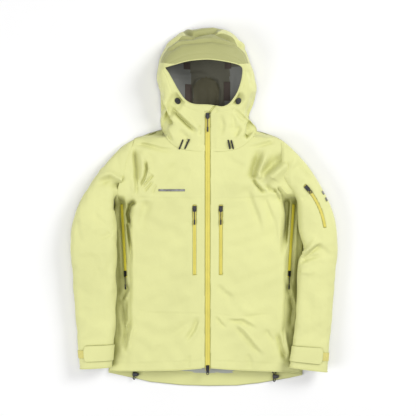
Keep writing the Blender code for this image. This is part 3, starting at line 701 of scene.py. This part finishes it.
# Matched points round the face opening and round the hood's outline, from the zip over the wearer's
# right side, the top and the left side. The last number is how far the outline lies on the body.
RING = [
    ((11, 282, 66.5), (11, 153), 1), ((-28, 284, 67), (-45, 156), 1), ((-52, 296, 70), (-86, 172), 1),
    ((-71, 322, 73), (-117, 216), 0.45), ((-84, 345, 80), (-119, 262), 0), ((-98, 370, 86), (-121, 318), 0),
    ((-107, 384, 91), (-129, 352), 0), ((-97, 389, 95), (-124, 400), 0), ((-76, 395, 100), (-108, 440), 0),
    ((-47, 403, 104), (-75, 476), 0), ((-16, 407, 107), (-30, 492), 0), ((16, 408, 108), (20, 495), 0),
    ((50, 404, 107), (66, 487), 0), ((80, 398, 103), (97, 461), 0), ((100, 391, 97), (116, 432), 0),
    ((107, 381, 92), (129, 394), 0), ((106, 362, 86), (140, 358), 0), ((101, 340, 80), (145, 326), 0),
    ((92, 316, 74), (137, 288), 0), ((80, 297, 70), (124, 247), 0), ((68, 284, 67.5), (146, 212), 0.45),
    ((52, 277, 67), (106, 168), 1), ((34, 279, 66.5), (62, 154), 1),
]

HOOD_FOLDS = [
    # Crown.
    ([(-62, 486), (-30, 472), (6, 478), (44, 488)], 7, -5.5, 0.35, 0.7, (0.2, 0.2)),
    ([(-34, 470), (4, 474), (42, 485)], 4, -3.5, -0.3, 0.6, (0.25, 0.3)),
    ([(20, 478), (60, 464), (104, 442), (122, 422)], 5, -4.0, 0.5, 0.7, (0.2, 0.2)),
    ([(-106, 436), (-80, 456), (-32, 463), (-6, 469)], 5, -3.4, 0.4, 0.8, (0.2, 0.3)),
    ([(88, 446), (112, 436), (126, 412)], 5, -3.0, 0.2, 1, (0.3, 0.3)),
    ([(-104, 424), (-60, 444), (20, 451), (76, 441), (96, 432)], 4.5, -2.4, 0.6, 0.8, (0.08, 0.15)),
    # Right side of the hood and of the collar.
    ([(-120, 300), (-105, 262), (-80, 218)], 6.5, -7.5, 0.5, 0.8, (0.25, 0.3)),
    ([(-124, 336), (-116, 306), (-114, 262)], 7, -3.0, 0.2, 1, (0.3, 0.35)),
    ([(-92, 278), (-58, 243), (-13, 201)], 5, -5.4, 0.5, 1, (0.25, 0.3)),
    ([(-84, 300), (-76, 284), (-60, 262)], 8, -2.4, 0.3, 1, (0.3, 0.35)),
    ([(-10, 228), (-10, 212), (-10, 194)], 2.6, -4.2, 0.3, 1, (0.25, 0.25)),
    ([(-120, 222), (-121, 206), (-122, 190)], 4, -5.0, 0.2, 1, (0.2, 0.4)),
    ([(-104, 214), (-96, 196), (-84, 180)], 6, -3.0, 0.2),
    ([(-70, 214), (-52, 196), (-32, 182)], 8, -2.0, 0.2),
    ([(-108, 350), (-118, 330), (-124, 300)], 7, 2.2, 0),
    ([(11, 256), (20, 266), (34, 284)], 1.8, -3.6, 0.3, 1, (0.05, 0.05)),
    ([(15, 252), (28, 262), (44, 270)], 5, -1.6, 0, 1, (0.2, 0.4)),
    # Left side of the hood and of the collar.
    ([(144, 322), (134, 282), (120, 238)], 7, -5.0, 0.3, 1, (0.3, 0.35)),
    ([(122, 240), (118, 212), (110, 182)], 6, -5.5, -0.4, 1, (0.25, 0.35)),
    ([(134, 214), (126, 202), (112, 186)], 5, -4.0, 0.2, 1, (0.25, 0.35)),
    ([(100, 226), (92, 204), (82, 186)], 6, -3.6, 0.3, 1, (0.3, 0.35)),
    ([(74, 262), (84, 230), (80, 196)], 7, -2.6, 0.2, 1, (0.3, 0.35)),
    ([(44, 258), (52, 226), (46, 190)], 7, -2.0, 0.2, 1, (0.3, 0.35)),
    ([(118, 380), (132, 350), (136, 318)], 8, -2.8, 0.2, 1, (0.3, 0.35)),
]


def hood_ring(columns):
    """RING at that many places: the opening's points, the outline's and how far they lie on the body."""
    inner = spline([row[0] for row in RING], np.linspace(0, 1, columns, endpoint=False), True)
    # The outline of RING's opening is as seen from the camera, so high places are nearer to the middle.
    inner[:, :2] *= ((CAMERA_Z - inner[:, 2] * MM) / (CAMERA_Z - FRAMED_Z))[:, None]
    outer = spline([(*row[1], row[2]) for row in RING], np.linspace(0, 1, columns, endpoint=False), True)
    return inner, outer[:, :2], np.clip(outer[:, 2], 0, 1)


def hood_surface(rows, columns):
    """The hood and collar as rings from the face opening out to the hood's outline and the neck seam."""
    inner, outer, lies = hood_ring(columns)
    w = np.linspace(0, 1, rows)[:, None]
    turn = w * math.radians(88)
    f = lerp(np.sin(turn) ** 0.92, w, lies[None, :])
    g = lerp(np.cos(turn) ** 0.9, 1 - w, lies[None, :])
    x = lerp(inner[None, :, 0], outer[None, :, 0], f)
    y = lerp(inner[None, :, 1], outer[None, :, 1], f)
    s = np.clip((outer[:, 0] - table(MIDDLES, 1)) / table(WIDTHS, 1), -1, 1)
    seam_height = body_height(s, np.ones_like(s), outer[:, 0], outer[:, 1])
    floor = lerp(4.0, seam_height + 0.8, smooth(lies * 1.6))
    z = floor[None, :] + (inner[None, :, 2] - floor[None, :]) * g
    return x, y, z, w * np.ones_like(x), lies[None, :] * np.ones_like(x)


def lock_place(lock):
    """The middle of a cord lock, seen from above, and the height of its underside."""
    low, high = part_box(lock)
    return (low[0] + high[0]) * 500, (low[1] + high[1]) * 500, low[2] * 1000


def make_hood():
    rows, columns = 110, 420
    x, y, z, w, lies = hood_surface(rows, columns)
    points = np.stack([x, y, z], -1)
    normals = normals_of(points, True)
    normals = np.where(normals[..., 2:].mean() < 0, -normals, normals)
    relief = 2.0 * folds(x, y, HOOD_FOLDS)
    # The stiff brim, its stitched rows, and the hem round the face opening.
    top = smooth((y - 378) / 14)
    for share, depth in ((0.10, 0.9), (0.40, 1.1)):
        relief = relief - depth * np.exp(-((w - share) / 0.018) ** 2) * top
    relief = relief + 1.6 * smooth(1 - np.abs(w - 0.2) / 0.22) * top
    hem = np.exp(-((w - 0.13) / 0.02) ** 2) * (1 - top)
    relief = relief - 0.9 * hem + 0.9 * waves(x, y, 60, 21) * smooth((w - 0.1) / 0.3)
    relief = relief * smooth((1 - w) / 0.06) * smooth(w / 0.05)
    bed = (np.abs(x - ZIP_X) < 7.6) & (y < BED_END_Y)
    calm = lerp(0.25, 1, smooth((np.abs(x - ZIP_X) - 9) / 20))
    relief = np.where(y < 250, relief * calm, relief)
    points = points + normals * relief[..., None]
    zone = (lies > 0.5) & (np.abs(x - ZIP_X) < 24)
    level = zip_height(y) - np.where(bed, BED_DEPTH, 0.0)
    near = smooth((26 - np.abs(x - ZIP_X)) / 12) * (lies > 0.5) * (y < 283)
    points[..., 2] = np.where(zone, lerp(points[..., 2], level, near), points[..., 2])
    points[..., 2] += fold(x, y, [(12, 255), (20, 266), (34, 284)], 2.2, -5.0, 0.3, 1, (0.05, 0.05))
    points[..., 2] = np.maximum(points[..., 2], 2.5)
    hold = np.maximum.reduce([1 - smooth(w / 0.35), smooth((w - 0.9) / 0.06),
                              1 - smooth((np.hypot(x - ZIP_X, (y - BED_END_Y) * 0.5) - 22) / 16)])
    points = points + wrinkles("hood_shell", points, hold, (4, 5), 0.012, 3.0, wrap=True)
    for lock in ("hood_lock_right", "hood_lock_left"):
        cx, cy, underside = lock_place(lock)
        away = np.hypot(points[..., 0] - cx, points[..., 1] - cy)
        seat = smooth((26 - away) / 17) * (w > 0.04)
        points[..., 2] = lerp(points[..., 2], np.minimum(points[..., 2], underside + 0.4), seat)
    # The hood's inside face has the darkened lining, which is painted shade.
    hood = wall("hood_shell", points, (SHELL, HOOD_LINING_SHADE, BRIM_AND_CROWN_SHADE), 1.0, wrap=True)
    # The brim and a patch of the crown get the darker cloth, which is painted shade for faces that tilt away
    # from the light.
    for polygon in hood.data.polygons:
        row, column = divmod(polygon.index, columns)
        share = row / (rows - 1)
        px, py = x[row, column], y[row, column]
        crown = share > 0.5 and py > 448 and -58 + (485 - py) * 0.35 < px < 48 - (485 - py) * 1.2
        if (share < 0.56 and py > 386 + 12 * share) or crown:
            polygon.material_index = 2
    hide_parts("hood_side_right", "hood_side_left", "hood_brim", "hood_crown", "collar_right",
                "collar_left")
    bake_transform(hood)

    for lock, lean in (("hood_lock_right", -0.9), ("hood_lock_left", 1.1)):
        cx, cy, underside = lock_place(lock)
        turn = 2 * np.pi * np.arange(40) / 40
        px, py = 5.9 * np.cos(turn), 7.6 * np.sin(turn)
        c, q = math.cos(lean - math.pi / 2), math.sin(lean - math.pi / 2)
        ring = np.stack([cx + px * c - py * q, cy + px * q + py * c, np.full(40, underside + 1.4)], -1)
        base = sweep(f"{lock}_base", ring, UP, round_section(1.6, 8), (BLACK,), closed=True)
        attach(base, "torso")

    rim = sweep("face_opening_hem", points[0] - (0, 0, 0.6), UP, round_section(1.5, 8), (SHELL,), closed=True)
    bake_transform(rim)
    make_hood_inside()


def hood_floor_height(x, y):
    """The inside of the hood's back: deep in the middle and up towards the face opening's sides."""
    left = smooth((-x - 34) / 74)
    right = smooth((x - 62) / 60)
    z = 6 + 50 * left * smooth((y - 250) / 60) + 40 * right * smooth((y - 250) / 60)
    z = z + folds(x, y, [
        ([(-104, 372), (-60, 366), (-10, 374), (30, 366)], 6, 3.4, 0.5, 1, (0.1, 0.4)),
        ([(-86, 346), (-58, 350), (-36, 342)], 5, 2.4, 0.4, 1, (0.2, 0.4)),
        ([(-32, 270), (-32, 330), (-22, 352), (4, 362)], 5, 5.0, 0.5, 1, (0.05, 0.2)),
        ([(40, 270), (42, 320), (34, 350), (6, 362)], 5, 5.0, -0.5, 1, (0.05, 0.2)),
        ([(14, 280), (16, 320), (8, 352)], 7, 2.6, 0.2, 1, (0.1, 0.3)),
        ([(96, 300), (86, 340), (92, 380)], 5, 3.4, 0.4, 1, (0.2, 0.3)),
        ([(74, 300), (70, 340), (80, 372)], 4, 2.4, 0.3, 1, (0.2, 0.3)),
    ])
    return z + 0.8 * waves(x, y, 40, 31)


def make_hood_inside():
    columns = 90
    y, u = grid(np.linspace(205, 486, 90), np.linspace(-1, 1, columns))
    half = table([(205, 116), (240, 112), (300, 116), (340, 126), (375, 122), (410, 112), (440, 97),
                  (465, 72), (486, 36)], y)
    middle = table([(205, 16), (300, 8), (340, 8), (420, 6), (486, 8)], y)
    x = middle + u * half
    z = hood_floor_height(x, y) * smooth((1.02 - np.abs(u)) / 0.12)
    z = np.maximum(z, 3.2) + 22 * smooth((np.abs(u) - 0.88) / 0.12) * smooth((y - 330) / 30)
    z = np.maximum(z, 3.2 + 23 * smooth((y - 448) / 38))
    # The inside's cloths are painted shade: dark lining in the middle, less dark at the sides, darkest on the
    # middle panel.
    looks = (HOOD_LINING_SHADE, HOOD_SIDE_HALF_SHADE, HOOD_PANEL_SHADE, SHELL, SHELL, SHELL)
    inside = wall("hood_inside_back", np.stack([x, y, z], -1), looks, 1.0, inner=3)
    for polygon in inside.data.polygons:
        row, column = divmod(polygon.index, columns - 1)
        px, py = x[row, column], y[row, column]
        if px < -36 - 0.25 * max(py - 362, 0) and py < 396:
            polygon.material_index = 1
        elif (px > 70 and py < 385) or (px > 56 and py < 300):
            polygon.material_index = 1
        elif -30 < px < 40 and py < 360 - 0.02 * (px - 5) ** 2:
            polygon.material_index = 2
    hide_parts("hood_back")
    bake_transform(inside)

    for i, (cx, cy, wide, tall) in enumerate([(-47, 391, 17, 17), (66, 392, 17, 15), (-43, 316, 17, 50),
                                              (63, 322, 17, 52)]):
        b, a = grid(np.linspace(-0.5, 0.5, 24), np.linspace(-0.5, 0.5, 14))
        px, py = cx + a * wide, cy + b * tall
        pz = np.maximum(hood_floor_height(px, py), 3.2) + 1.4
        patch = wall(f"hood_patch_{i + 1}", np.stack([px, py, pz], -1), (PATCH,), 0.8)
        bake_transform(patch)


# ---------------------------------------------------------------- sleeves

# Outer edge, inner edge, lowest point and height at each station from the armhole to the cuff.
SLEEVES = {
    "right": [
        ((-191, 188), (-232, 36), 1.5, 58), ((-232, 160), (-244, 26), 1.2, 62),
        ((-275, 113), (-247, 14), 1.2, 64), ((-312, 62), (-247, -2), 1.2, 64),
        ((-341, 12), (-243, -22), 1.2, 64), ((-360, -48), (-240, -62), 1.2, 64),
        ((-366, -110), (-239, -114), 1.2, 62), ((-361, -175), (-241, -176), 1.2, 58),
        ((-356, -250), (-241, -250), 1.2, 54), ((-350, -325), (-244, -323), 1.6, 50),
        ((-346, -390), (-249, -386), 3.4, 44), ((-341, -443), (-253, -438), 6.4, 38),
    ],
    "left": [
        ((211, 187), (212, 74), 1.5, 60), ((246, 156), (229, 54), 1.2, 64), ((285, 112), (245, 36), 1.2, 65),
        ((315, 66), (255, 16), 1.2, 65), ((341, 18), (258, -16), 1.2, 64), ((359, -34), (260, -60), 1.2, 64),
        ((366, -100), (273, -112), 1.2, 62), ((362, -165), (259, -152), 1.2, 58),
        ((356, -240), (255, -245), 2.4, 54), ((349, -325), (249, -325), 5.4, 50),
        ((342, -395), (242, -388), 14.4, 42), ((338, -450), (234, -437), 18.4, 38),
    ],
}

SLEEVE_FOLDS = {
    "right": [
        ([(-302, 62), (-278, 78), (-256, 86), (-226, 70), (-188, 50)], 9, 5.0, -0.85, 0.8, (0.3, 0.1)),
        ([(-266, 64), (-228, 60), (-192, 52)], 9, -5.0, 0.4, 1, (0.35, 0.1)),
        ([(-344, -20), (-342, -60), (-332, -104)], 8, -1.8, 0.2),
        ([(-304, -10), (-284, -34), (-256, -60)], 10, -1.8, 0.2),
        ([(-252, -72), (-266, -82), (-290, -86)], 6, -2.4, 0.3, 1, (0.1, 0.4)),
        ([(-310, -110), (-296, -160), (-272, -204)], 12, -1.6, 0.1),
        ([(-254, -140), (-266, -190), (-262, -240)], 8, -1.6, 0.2, 1, (0.2, 0.4)),
        ([(-332, -200), (-326, -280), (-318, -330)], 14, -1.4, 0),
        ([(-300, 110), (-270, 100), (-246, 108)], 10, 1.6, 0),
        ([(-240, 150), (-232, 120), (-226, 92)], 9, -1.6, 0.2),
    ],
    "left": [
        ([(240, 134), (256, 110), (272, 84), (268, 48)], 10, 3.0, 0.4, 1, (0.2, 0.3)),
        ([(242, 124), (270, 112), (300, 84)], 15, -4.5, 0.3, 1, (0.25, 0.4)),
        ([(264, -142), (290, -120), (322, -94)], 6, -4.6, 0.4, 0.8, (0.1, 0.3)),
        ([(262, -152), (292, -140), (322, -130)], 6, -3.4, -0.3, 0.8, (0.1, 0.35)),
        ([(268, -128), (292, -104), (308, -74)], 7, 2.8, 0, 1, (0.1, 0.35)),
        ([(300, -100), (326, -116), (350, -140)], 9, -2.0, 0.2),
        ([(262, -176), (288, -178), (310, -168)], 7, 2.0, 0, 1, (0.1, 0.4)),
        ([(300, 20), (296, -30), (300, -70)], 16, 1.6, 0),
        ([(286, -220), (292, -280), (284, -340)], 14, -2.0, 0.2),
        ([(330, -210), (326, -290), (318, -350)], 14, 1.2, 0),
        ([(262, 22), (280, 30), (300, 18)], 8, -1.8, 0.2, 1, (0.2, 0.4)),
    ],
}


def sleeve_surface(name, around, along, outset=0.0):
    """Places on a sleeve: around 0 at the inner edge, 0.25 on top and 0.5 at the outer edge."""
    flat = [(*outer, *inner, low, height) for outer, inner, low, height in SLEEVES[name]]
    ox, oy, ix, iy, low, height = spline(flat, along.ravel()).T.reshape(6, *along.shape)
    angle = 2 * np.pi * around
    half = np.hypot(ox - ix, oy - iy) / 2
    c, q = np.cos(angle), np.sin(angle)
    power = np.where(q > 0, 3.3, 2.1)
    size = (np.abs(c) ** power + np.abs(q) ** power) ** (-1 / power)
    c, q = c * size, q * size
    share = c * (1 + outset / half) / 2
    return np.stack([lerp(ox, ix, 0.5 + share), lerp(oy, iy, 0.5 + share),
                     low + height / 2 + (height / 2 + outset) * q], -1)


def sleeve_relief(name, points):
    x, y = points[..., 0], points[..., 1]
    relief = 1.7 * folds(x, y, SLEEVE_FOLDS[name])
    return relief + 0.9 * waves(x, y * 0.7, 70, 41 if name == "right" else 42) + 0.4 * waves(x, y, 28, 43)


# The sleeve pocket's zip is an arc about its slider's joint, and lies level.
SLEEVE_ZIP_ENDS = ((274, 60), (329, -54))
ZIP_ARC_CENTRE = [1000 * value for joint in frame["joints"] if joint["name"] == "sleeve_zip"
                  for value in joint["pos_m"][:2]]
ZIP_ARC_RADIUS = math.dist(SLEEVE_ZIP_ENDS[0], ZIP_ARC_CENTRE)
ZIP_ARC_TURNS = [math.atan2(y - ZIP_ARC_CENTRE[1], x - ZIP_ARC_CENTRE[0]) for x, y in SLEEVE_ZIP_ENDS]
ZIP_ARC_HALF = (ZIP_ARC_TURNS[0] - ZIP_ARC_TURNS[1]) / 2
ZIP_ARC_TURN = (ZIP_ARC_TURNS[0] + ZIP_ARC_TURNS[1]) / 2
SLEEVE_ZIP_Z = 64.9
SLEEVE_LOWEST_Z = 0.6


def sleeve_points(name, around, along):
    """The sleeve with its folds, and flat under the pocket's zip on the left one."""
    points = sleeve_surface(name, around, along)
    normals = normals_of(points, True)
    if normals[..., 2][np.sin(2 * np.pi * around) > 0.9].mean() < 0:
        normals = -normals
    upper = smooth(normals[..., 2] * 2.0)
    fade = smooth(along / 0.03) * smooth((1 - along) / 0.04)
    under = 0.6 * (1 - upper) * waves(points[..., 0], points[..., 1], 60, 47)
    relief = sleeve_relief(name, points) * upper + under * (normals[..., 2] > -0.5)
    cuff = smooth((along - 0.86) / 0.04)
    for place in (0.958, 0.975):
        relief = relief - 0.8 * np.exp(-((along - place) / 0.0028) ** 2)
    relief = relief * lerp(1, 0.6, cuff) * fade
    points = points + normals * relief[..., None]
    if name == "left":
        dx, dy = points[..., 0] - ZIP_ARC_CENTRE[0], points[..., 1] - ZIP_ARC_CENTRE[1]
        off = np.abs(np.hypot(dx, dy) - ZIP_ARC_RADIUS)
        turn = np.abs(np.arctan2(dy, dx) - ZIP_ARC_TURN)
        near = smooth((24 - off) / 20) * smooth((ZIP_ARC_HALF + 0.10 - turn) / 0.08) * upper
        points[..., 2] = lerp(points[..., 2], SLEEVE_ZIP_Z + 0.4, near)
        bed = (off < 4.4) & (turn < ZIP_ARC_HALF + 0.006) & (upper > 0.5)
        points[..., 2] = np.where(bed, SLEEVE_ZIP_Z - 1.8, points[..., 2])
    points[..., 2] = np.maximum(points[..., 2], SLEEVE_LOWEST_Z)
    return points


def make_sleeve(name):
    rows, columns = 330, 170
    along, around = grid(np.linspace(0, 1, rows), np.arange(columns) / columns)
    points = sleeve_points(name, around, along)
    tucked = smooth(1 - along / 0.03)
    points[..., 2] -= 2.4 * tucked * np.maximum(np.sin(2 * np.pi * around), 0)
    hold = np.maximum(1 - smooth(along / 0.08), smooth((along - 0.86) / 0.05))
    if name == "left":
        away = np.hypot(points[..., 0] - 310, points[..., 1] - 5)
        hold = np.maximum(hold, smooth((100 - away) / 30))
    points = points + wrinkles(f"sleeve_{name}", points, hold, (6, 5), 0.012, 3.0, wrap=True)
    points[..., 2] = np.maximum(points[..., 2], SLEEVE_LOWEST_Z)
    looks = (SHELL, LINING, SHELL, SHELL)
    sleeve = wall(f"sleeve_shell_{name}", points, looks, 0.9, wrap=True, flip=name == "left")
    # The first part of the sleeve has the shell's cloth on both faces.
    for polygon in sleeve.data.polygons:
        if polygon.index // columns < 0.16 * rows:
            polygon.material_index = 2
    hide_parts(f"sleeve_{name}")
    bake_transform(sleeve)

    edge = sleeve_surface(name, (np.arange(120) / 120)[None, :], np.full((1, 120), 0.9995))[0]
    hem = sweep(f"cuff_hem_{name}", edge, UP, round_section(1.4, 8), (SHELL,), closed=True)
    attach(hem, f"sleeve_{name}")

    def layer(turns, spans, outset, rounded, piece, materials, thickness):
        """A strip of cloth on the cuff, over these shares of its girth and of the sleeve's length."""
        v, u = grid(np.linspace(0, 1, 30), np.linspace(0, 1, 60))
        if rounded:
            v = 0.5 + (v - 0.5) * np.sqrt(np.clip(1 - np.clip((u - 0.93) / 0.07, 0, 1) ** 2, 0.15, 1))
        surface = sleeve_surface(name, lerp(turns[0], turns[1], u), lerp(spans[0], spans[1], v), outset)
        stitches = np.exp(-((np.minimum(v, 1 - v) - 0.1) / 0.025) ** 2) + np.exp(-((0.94 - u) / 0.015) ** 2)
        surface[..., 2] -= 0.35 * stitches
        return wall(piece, surface, materials, thickness, flip=name == "left")

    patch = layer((0.26, 0.455), (0.912, 0.944), 1.9, False, f"cuff_pile_{name}", (HOOK,), 1.2)
    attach(patch, f"sleeve_{name}")
    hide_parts(f"cuff_patch_{name}")
    tab = layer((0.05, 0.345), (0.894, 0.960), 3.4, True, f"cuff_strap_{name}", (SHELL, LINING), 1.4)
    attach(tab, f"cuff_tab_{name}")
    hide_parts(f"cuff_tab_{name}")


# ---------------------------------------------------------------- zips and trim

def zip_section(width):
    """The outline of a zip strip: two raised lips and the groove between them."""
    h = width / 2
    return [(-h, -0.8), (-h, 0.3), (-h + 0.7, 0.75), (-1.1, 0.95), (-0.45, 0.75), (0, -0.1), (0.45, 0.75),
            (1.1, 0.95), (h - 0.7, 0.75), (h, 0.3), (h, -0.8)]


def make_zips():
    tilt = math.atan2(ZIP_RISE, ZIP_LENGTH)
    up = (0, -math.sin(tilt), math.cos(tilt))

    def straight(name, x, low, high, width, nodes):
        ys = np.linspace(low, high, max(8, int((high - low) / 3)))
        path = np.stack([np.full_like(ys, x), ys, zip_height(ys)], -1)
        strip = sweep(name, path, up, zip_section(width), (ZIP,))
        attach(strip, "torso")
        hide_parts(*nodes)

    straight("front_zip_strip", ZIP_X, -449, 245, 12.6, ("zip_tape_right", "zip_tape_left"))
    for side, name in ((-1, "right"), (1, "left")):
        straight(f"chest_zip_strip_{name}", ZIP_X + side * CHEST_ZIP_ASIDE, -184, 6, 8.4,
                 (f"chest_zip_tape_{name}",))
        start, direction, outward, length = VENT_ZIPS[name]
        path = start + np.linspace(0, length, 80)[:, None] * direction
        strip = sweep(f"vent_zip_strip_{name}", path + outward * 0.4, outward, zip_section(8.4), (PIT_ZIP,))
        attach(strip, "torso")
        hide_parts(f"pit_zip_tape_{name}")
    turns = ZIP_ARC_TURN + np.linspace(-ZIP_ARC_HALF, ZIP_ARC_HALF, 60)
    path = np.stack([ZIP_ARC_CENTRE[0] + ZIP_ARC_RADIUS * np.cos(turns),
                     ZIP_ARC_CENTRE[1] + ZIP_ARC_RADIUS * np.sin(turns), np.full(60, SLEEVE_ZIP_Z)], -1)
    strip = sweep("sleeve_zip_strip", path, UP, zip_section(6.8), (ZIP,))
    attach(strip, "sleeve_left")
    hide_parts("sleeve_zip_tape")


def front_height(x, y):
    """Height of the finished front at places given as arrays."""
    front = FINISHED["front"].reshape(-1, 3)
    spots = np.stack([x.ravel(), y.ravel()], -1)
    nearest = [np.argmin(np.hypot(front[:, 0] - px, front[:, 1] - py)) for px, py in spots]
    return front[nearest, 2].reshape(x.shape)


def make_trim():
    """Reflective bars, the front hem's edge, and the loop inside the neck."""
    b, a = grid(np.linspace(-2.8, 2.8, 6), np.linspace(-36, 36, 30))
    x, y = -88 + a, 47 + b
    bar = wall("chest_reflective_bar", np.stack([x, y, front_height(x, y) + 1.0], -1), (PRINT,), 0.4)
    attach(bar, "torso")
    for place, along in (("upper", 0.318), ("lower", 0.352)):
        v, u = grid(along + np.linspace(-0.009, 0.009, 12), lerp(0.375, 0.393, np.linspace(0, 1, 6)))
        bar = wall(f"sleeve_reflective_bar_{place}", sleeve_surface("left", u, v, 2.2), (PRINT,), 0.4)
        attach(bar, "sleeve_left")

    for side, name in ((-1, "right"), (1, "left")):
        s = side * np.linspace(0.035, 0.995, 140)
        edge = body_surface(s[None, :], np.zeros((1, 140)))[0]
        edge[:, 2] -= 0.4
        hem = sweep(f"front_hem_{name}", edge, UP, round_section(1.5, 8), (SHELL,))
        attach(hem, "torso")

    xs = np.linspace(-36, 36, 40)
    path = np.stack([ZIP_X + xs, np.full(40, 230.0), 3.4 + 9 * (1 - (xs / 36) ** 4)], -1)
    loop = sweep("neck_loop", path, UP, band_section(8, 1.0, -0.5), (LINING,))
    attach(loop, "torso")
    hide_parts("hanger_loop")


def make_cord(name, points, diameter, node):
    """A free cord as a curve of one open spline."""
    points = np.array(points, float)
    count = max(18, int(np.linalg.norm(points[1:] - points[:-1], axis=1).sum() / 1.6))
    route = spline(points, np.linspace(0, 1, count)) * MM
    curve = bpy.data.curves.new(name, "CURVE")
    curve.dimensions = "3D"
    curve.bevel_depth = diameter / 2 * MM
    curve.bevel_resolution = 3
    curve.use_fill_caps = True
    line = curve.splines.new("POLY")
    line.points.add(count - 1)
    for point, place in zip(line.points, route):
        point.co = (*place, 1)
    obj = bpy.data.objects.new(name, curve)
    bpy.context.scene.collection.objects.link(obj)
    curve.materials.append(CORD)
    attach(obj, "torso")
    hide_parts(node)


def cad_front_height(x, y):
    """Height of the CAD's plain front at a place, without folds."""
    widths = [(-500, 270), (-450, 270), (-340, 254), (-220, 245), (-100, 244), (20, 246), (100, 230),
              (183, 202), (213, 136), (310, 132)]
    share = min(abs(x - ZIP_X) / table(widths, y), 0.999)
    return float(zip_height(y) * math.sqrt(1 - share**4))


# The ends of the two short bars that each hood cord shows, and the middle of each hem cord's lock.
HOOD_CORD_BARS = {"right": [((-67, 160), (-57, 184)), ((-41, 184), (-52, 160))],
                  "left": [((71, 160), (66, 183)), ((74, 183), (80, 160))]}
HEM_LOCKS = {"right": (-191, -462), "left": (197, -468)}
HEM_LOCK_Z = 8.4


def bar_points(start, end, rows):
    """Places along a bar, from rows of the share along it and the height over the front."""
    return [(lerp(start[0], end[0], share), lerp(start[1], end[1], share), up) for share, up in rows]


def make_cords():
    # A hood cord comes out of the cloth, makes a bar, passes under the cloth and makes the other bar.
    for name, ((a, b), (c, d)) in HOOD_CORD_BARS.items():
        under = [(b[0], b[1] + 1, -3.5), (lerp(b[0], c[0], 0.5), b[1] + 2, -5.0), (c[0], c[1] + 1, -3.5)]
        route = (bar_points(a, b, ((0, -1.0), (0.12, 2.4), (0.5, 3.2), (0.9, 2.2))) + under
                 + bar_points(c, d, ((0.1, 2.2), (0.5, 3.2), (0.88, 2.4), (1, -1.0))))
        points = [(x, y, cad_front_height(x, y) + up) for x, y, up in route]
        make_cord(f"hood_draw_cord_{name}", points, 4.4, f"hood_cord_{name}")

        # A hem cord is a loop through its lock, from (across, along) points.
        half = [(-6.4, 14), (-2.6, 9), (-1.5, 5), (-1.5, -5), (-3.0, -10)]
        loop = half + [(0, -14)] + [(-across, along) for across, along in reversed(half)]
        x, y = HEM_LOCKS[name]
        points = [(x - 2.6 + across, y + along, HEM_LOCK_Z) for across, along in loop]
        make_cord(f"hem_draw_cord_{name}", points, 2.4, f"hem_cord_{name}")


def dress_hardware():
    for node in frame["nodes"]:
        obj = bpy.data.objects.get(node)
        if obj is None or obj.type != "MESH":
            continue
        if node.endswith(("_slider", "_pull")):
            look = METAL
        elif node.startswith(("hood_lock", "hood_button", "hem_cordlock", "hem_plunger", "zip_box")):
            look = BLACK
        else:
            continue
        obj.data.materials.clear()
        obj.data.materials.append(look)


# ---------------------------------------------------------------- stage

def make_stage():
    look = Look("studio_floor")
    white = look.ramp(look.noise(3, 2), [(0.3, (0.93, 0.93, 0.93)), (0.7, (0.95, 0.95, 0.95))])
    look.shade({"Base Color": white, "Roughness": 0.9, "Specular IOR Level": 0.1})
    build = bmesh.new()
    bmesh.ops.create_grid(build, x_segments=8, y_segments=8, size=40)
    mesh = bpy.data.meshes.new("studio_floor")
    build.to_mesh(mesh)
    build.free()
    mesh.materials.append(look.material)
    floor = bpy.data.objects.new("studio_floor", mesh)
    floor.location = (0, 0, -0.0006)
    bpy.context.scene.collection.objects.link(floor)

    world = bpy.data.worlds.new("studio")
    bpy.context.scene.world = world
    world.use_nodes = True
    sky = world.node_tree.nodes["Background"].inputs
    sky["Color"].default_value = (1.0, 1.0, 1.0, 1)
    sky["Strength"].default_value = 0.24

    def lamp(name, location, size, power):
        """A square white lamp that points at the middle of the jacket."""
        light = bpy.data.lights.new(name, "AREA")
        light.shape = "SQUARE"
        light.size = size
        light.energy = power
        obj = bpy.data.objects.new(name, light)
        obj.location = location
        obj.rotation_euler = (-Vector(location)).to_track_quat("-Z", "Y").to_euler()
        bpy.context.scene.collection.objects.link(obj)

    lamp("key", (2.7, 1.7, 2.4), 1.6, 87)
    lamp("fill", (-3.0, -1.3, 2.7), 2.4, 74)
    lamp("top", (0.2, -0.2, 4.4), 2.4, 66)

    camera_data = bpy.data.cameras.new("camera")
    camera = bpy.data.objects.new("camera", camera_data)
    camera.location = (0.011, -0.0014, CAMERA_Z)
    camera.rotation_euler = (0, 0, 0)
    camera_data.sensor_width = SENSOR_WIDTH_MM
    camera_data.lens = SENSOR_WIDTH_MM * (CAMERA_Z - FRAMED_Z) / FRAMED_WIDTH
    camera_data.clip_end = 20
    bpy.context.scene.collection.objects.link(camera)
    bpy.context.scene.camera = camera
    bpy.context.scene.view_settings.view_transform = "Standard"


make_stage()
make_cords()
make_body()
make_hood()
for sleeve_side in ("right", "left"):
    make_sleeve(sleeve_side)
make_zips()
make_trim()
dress_hardware()
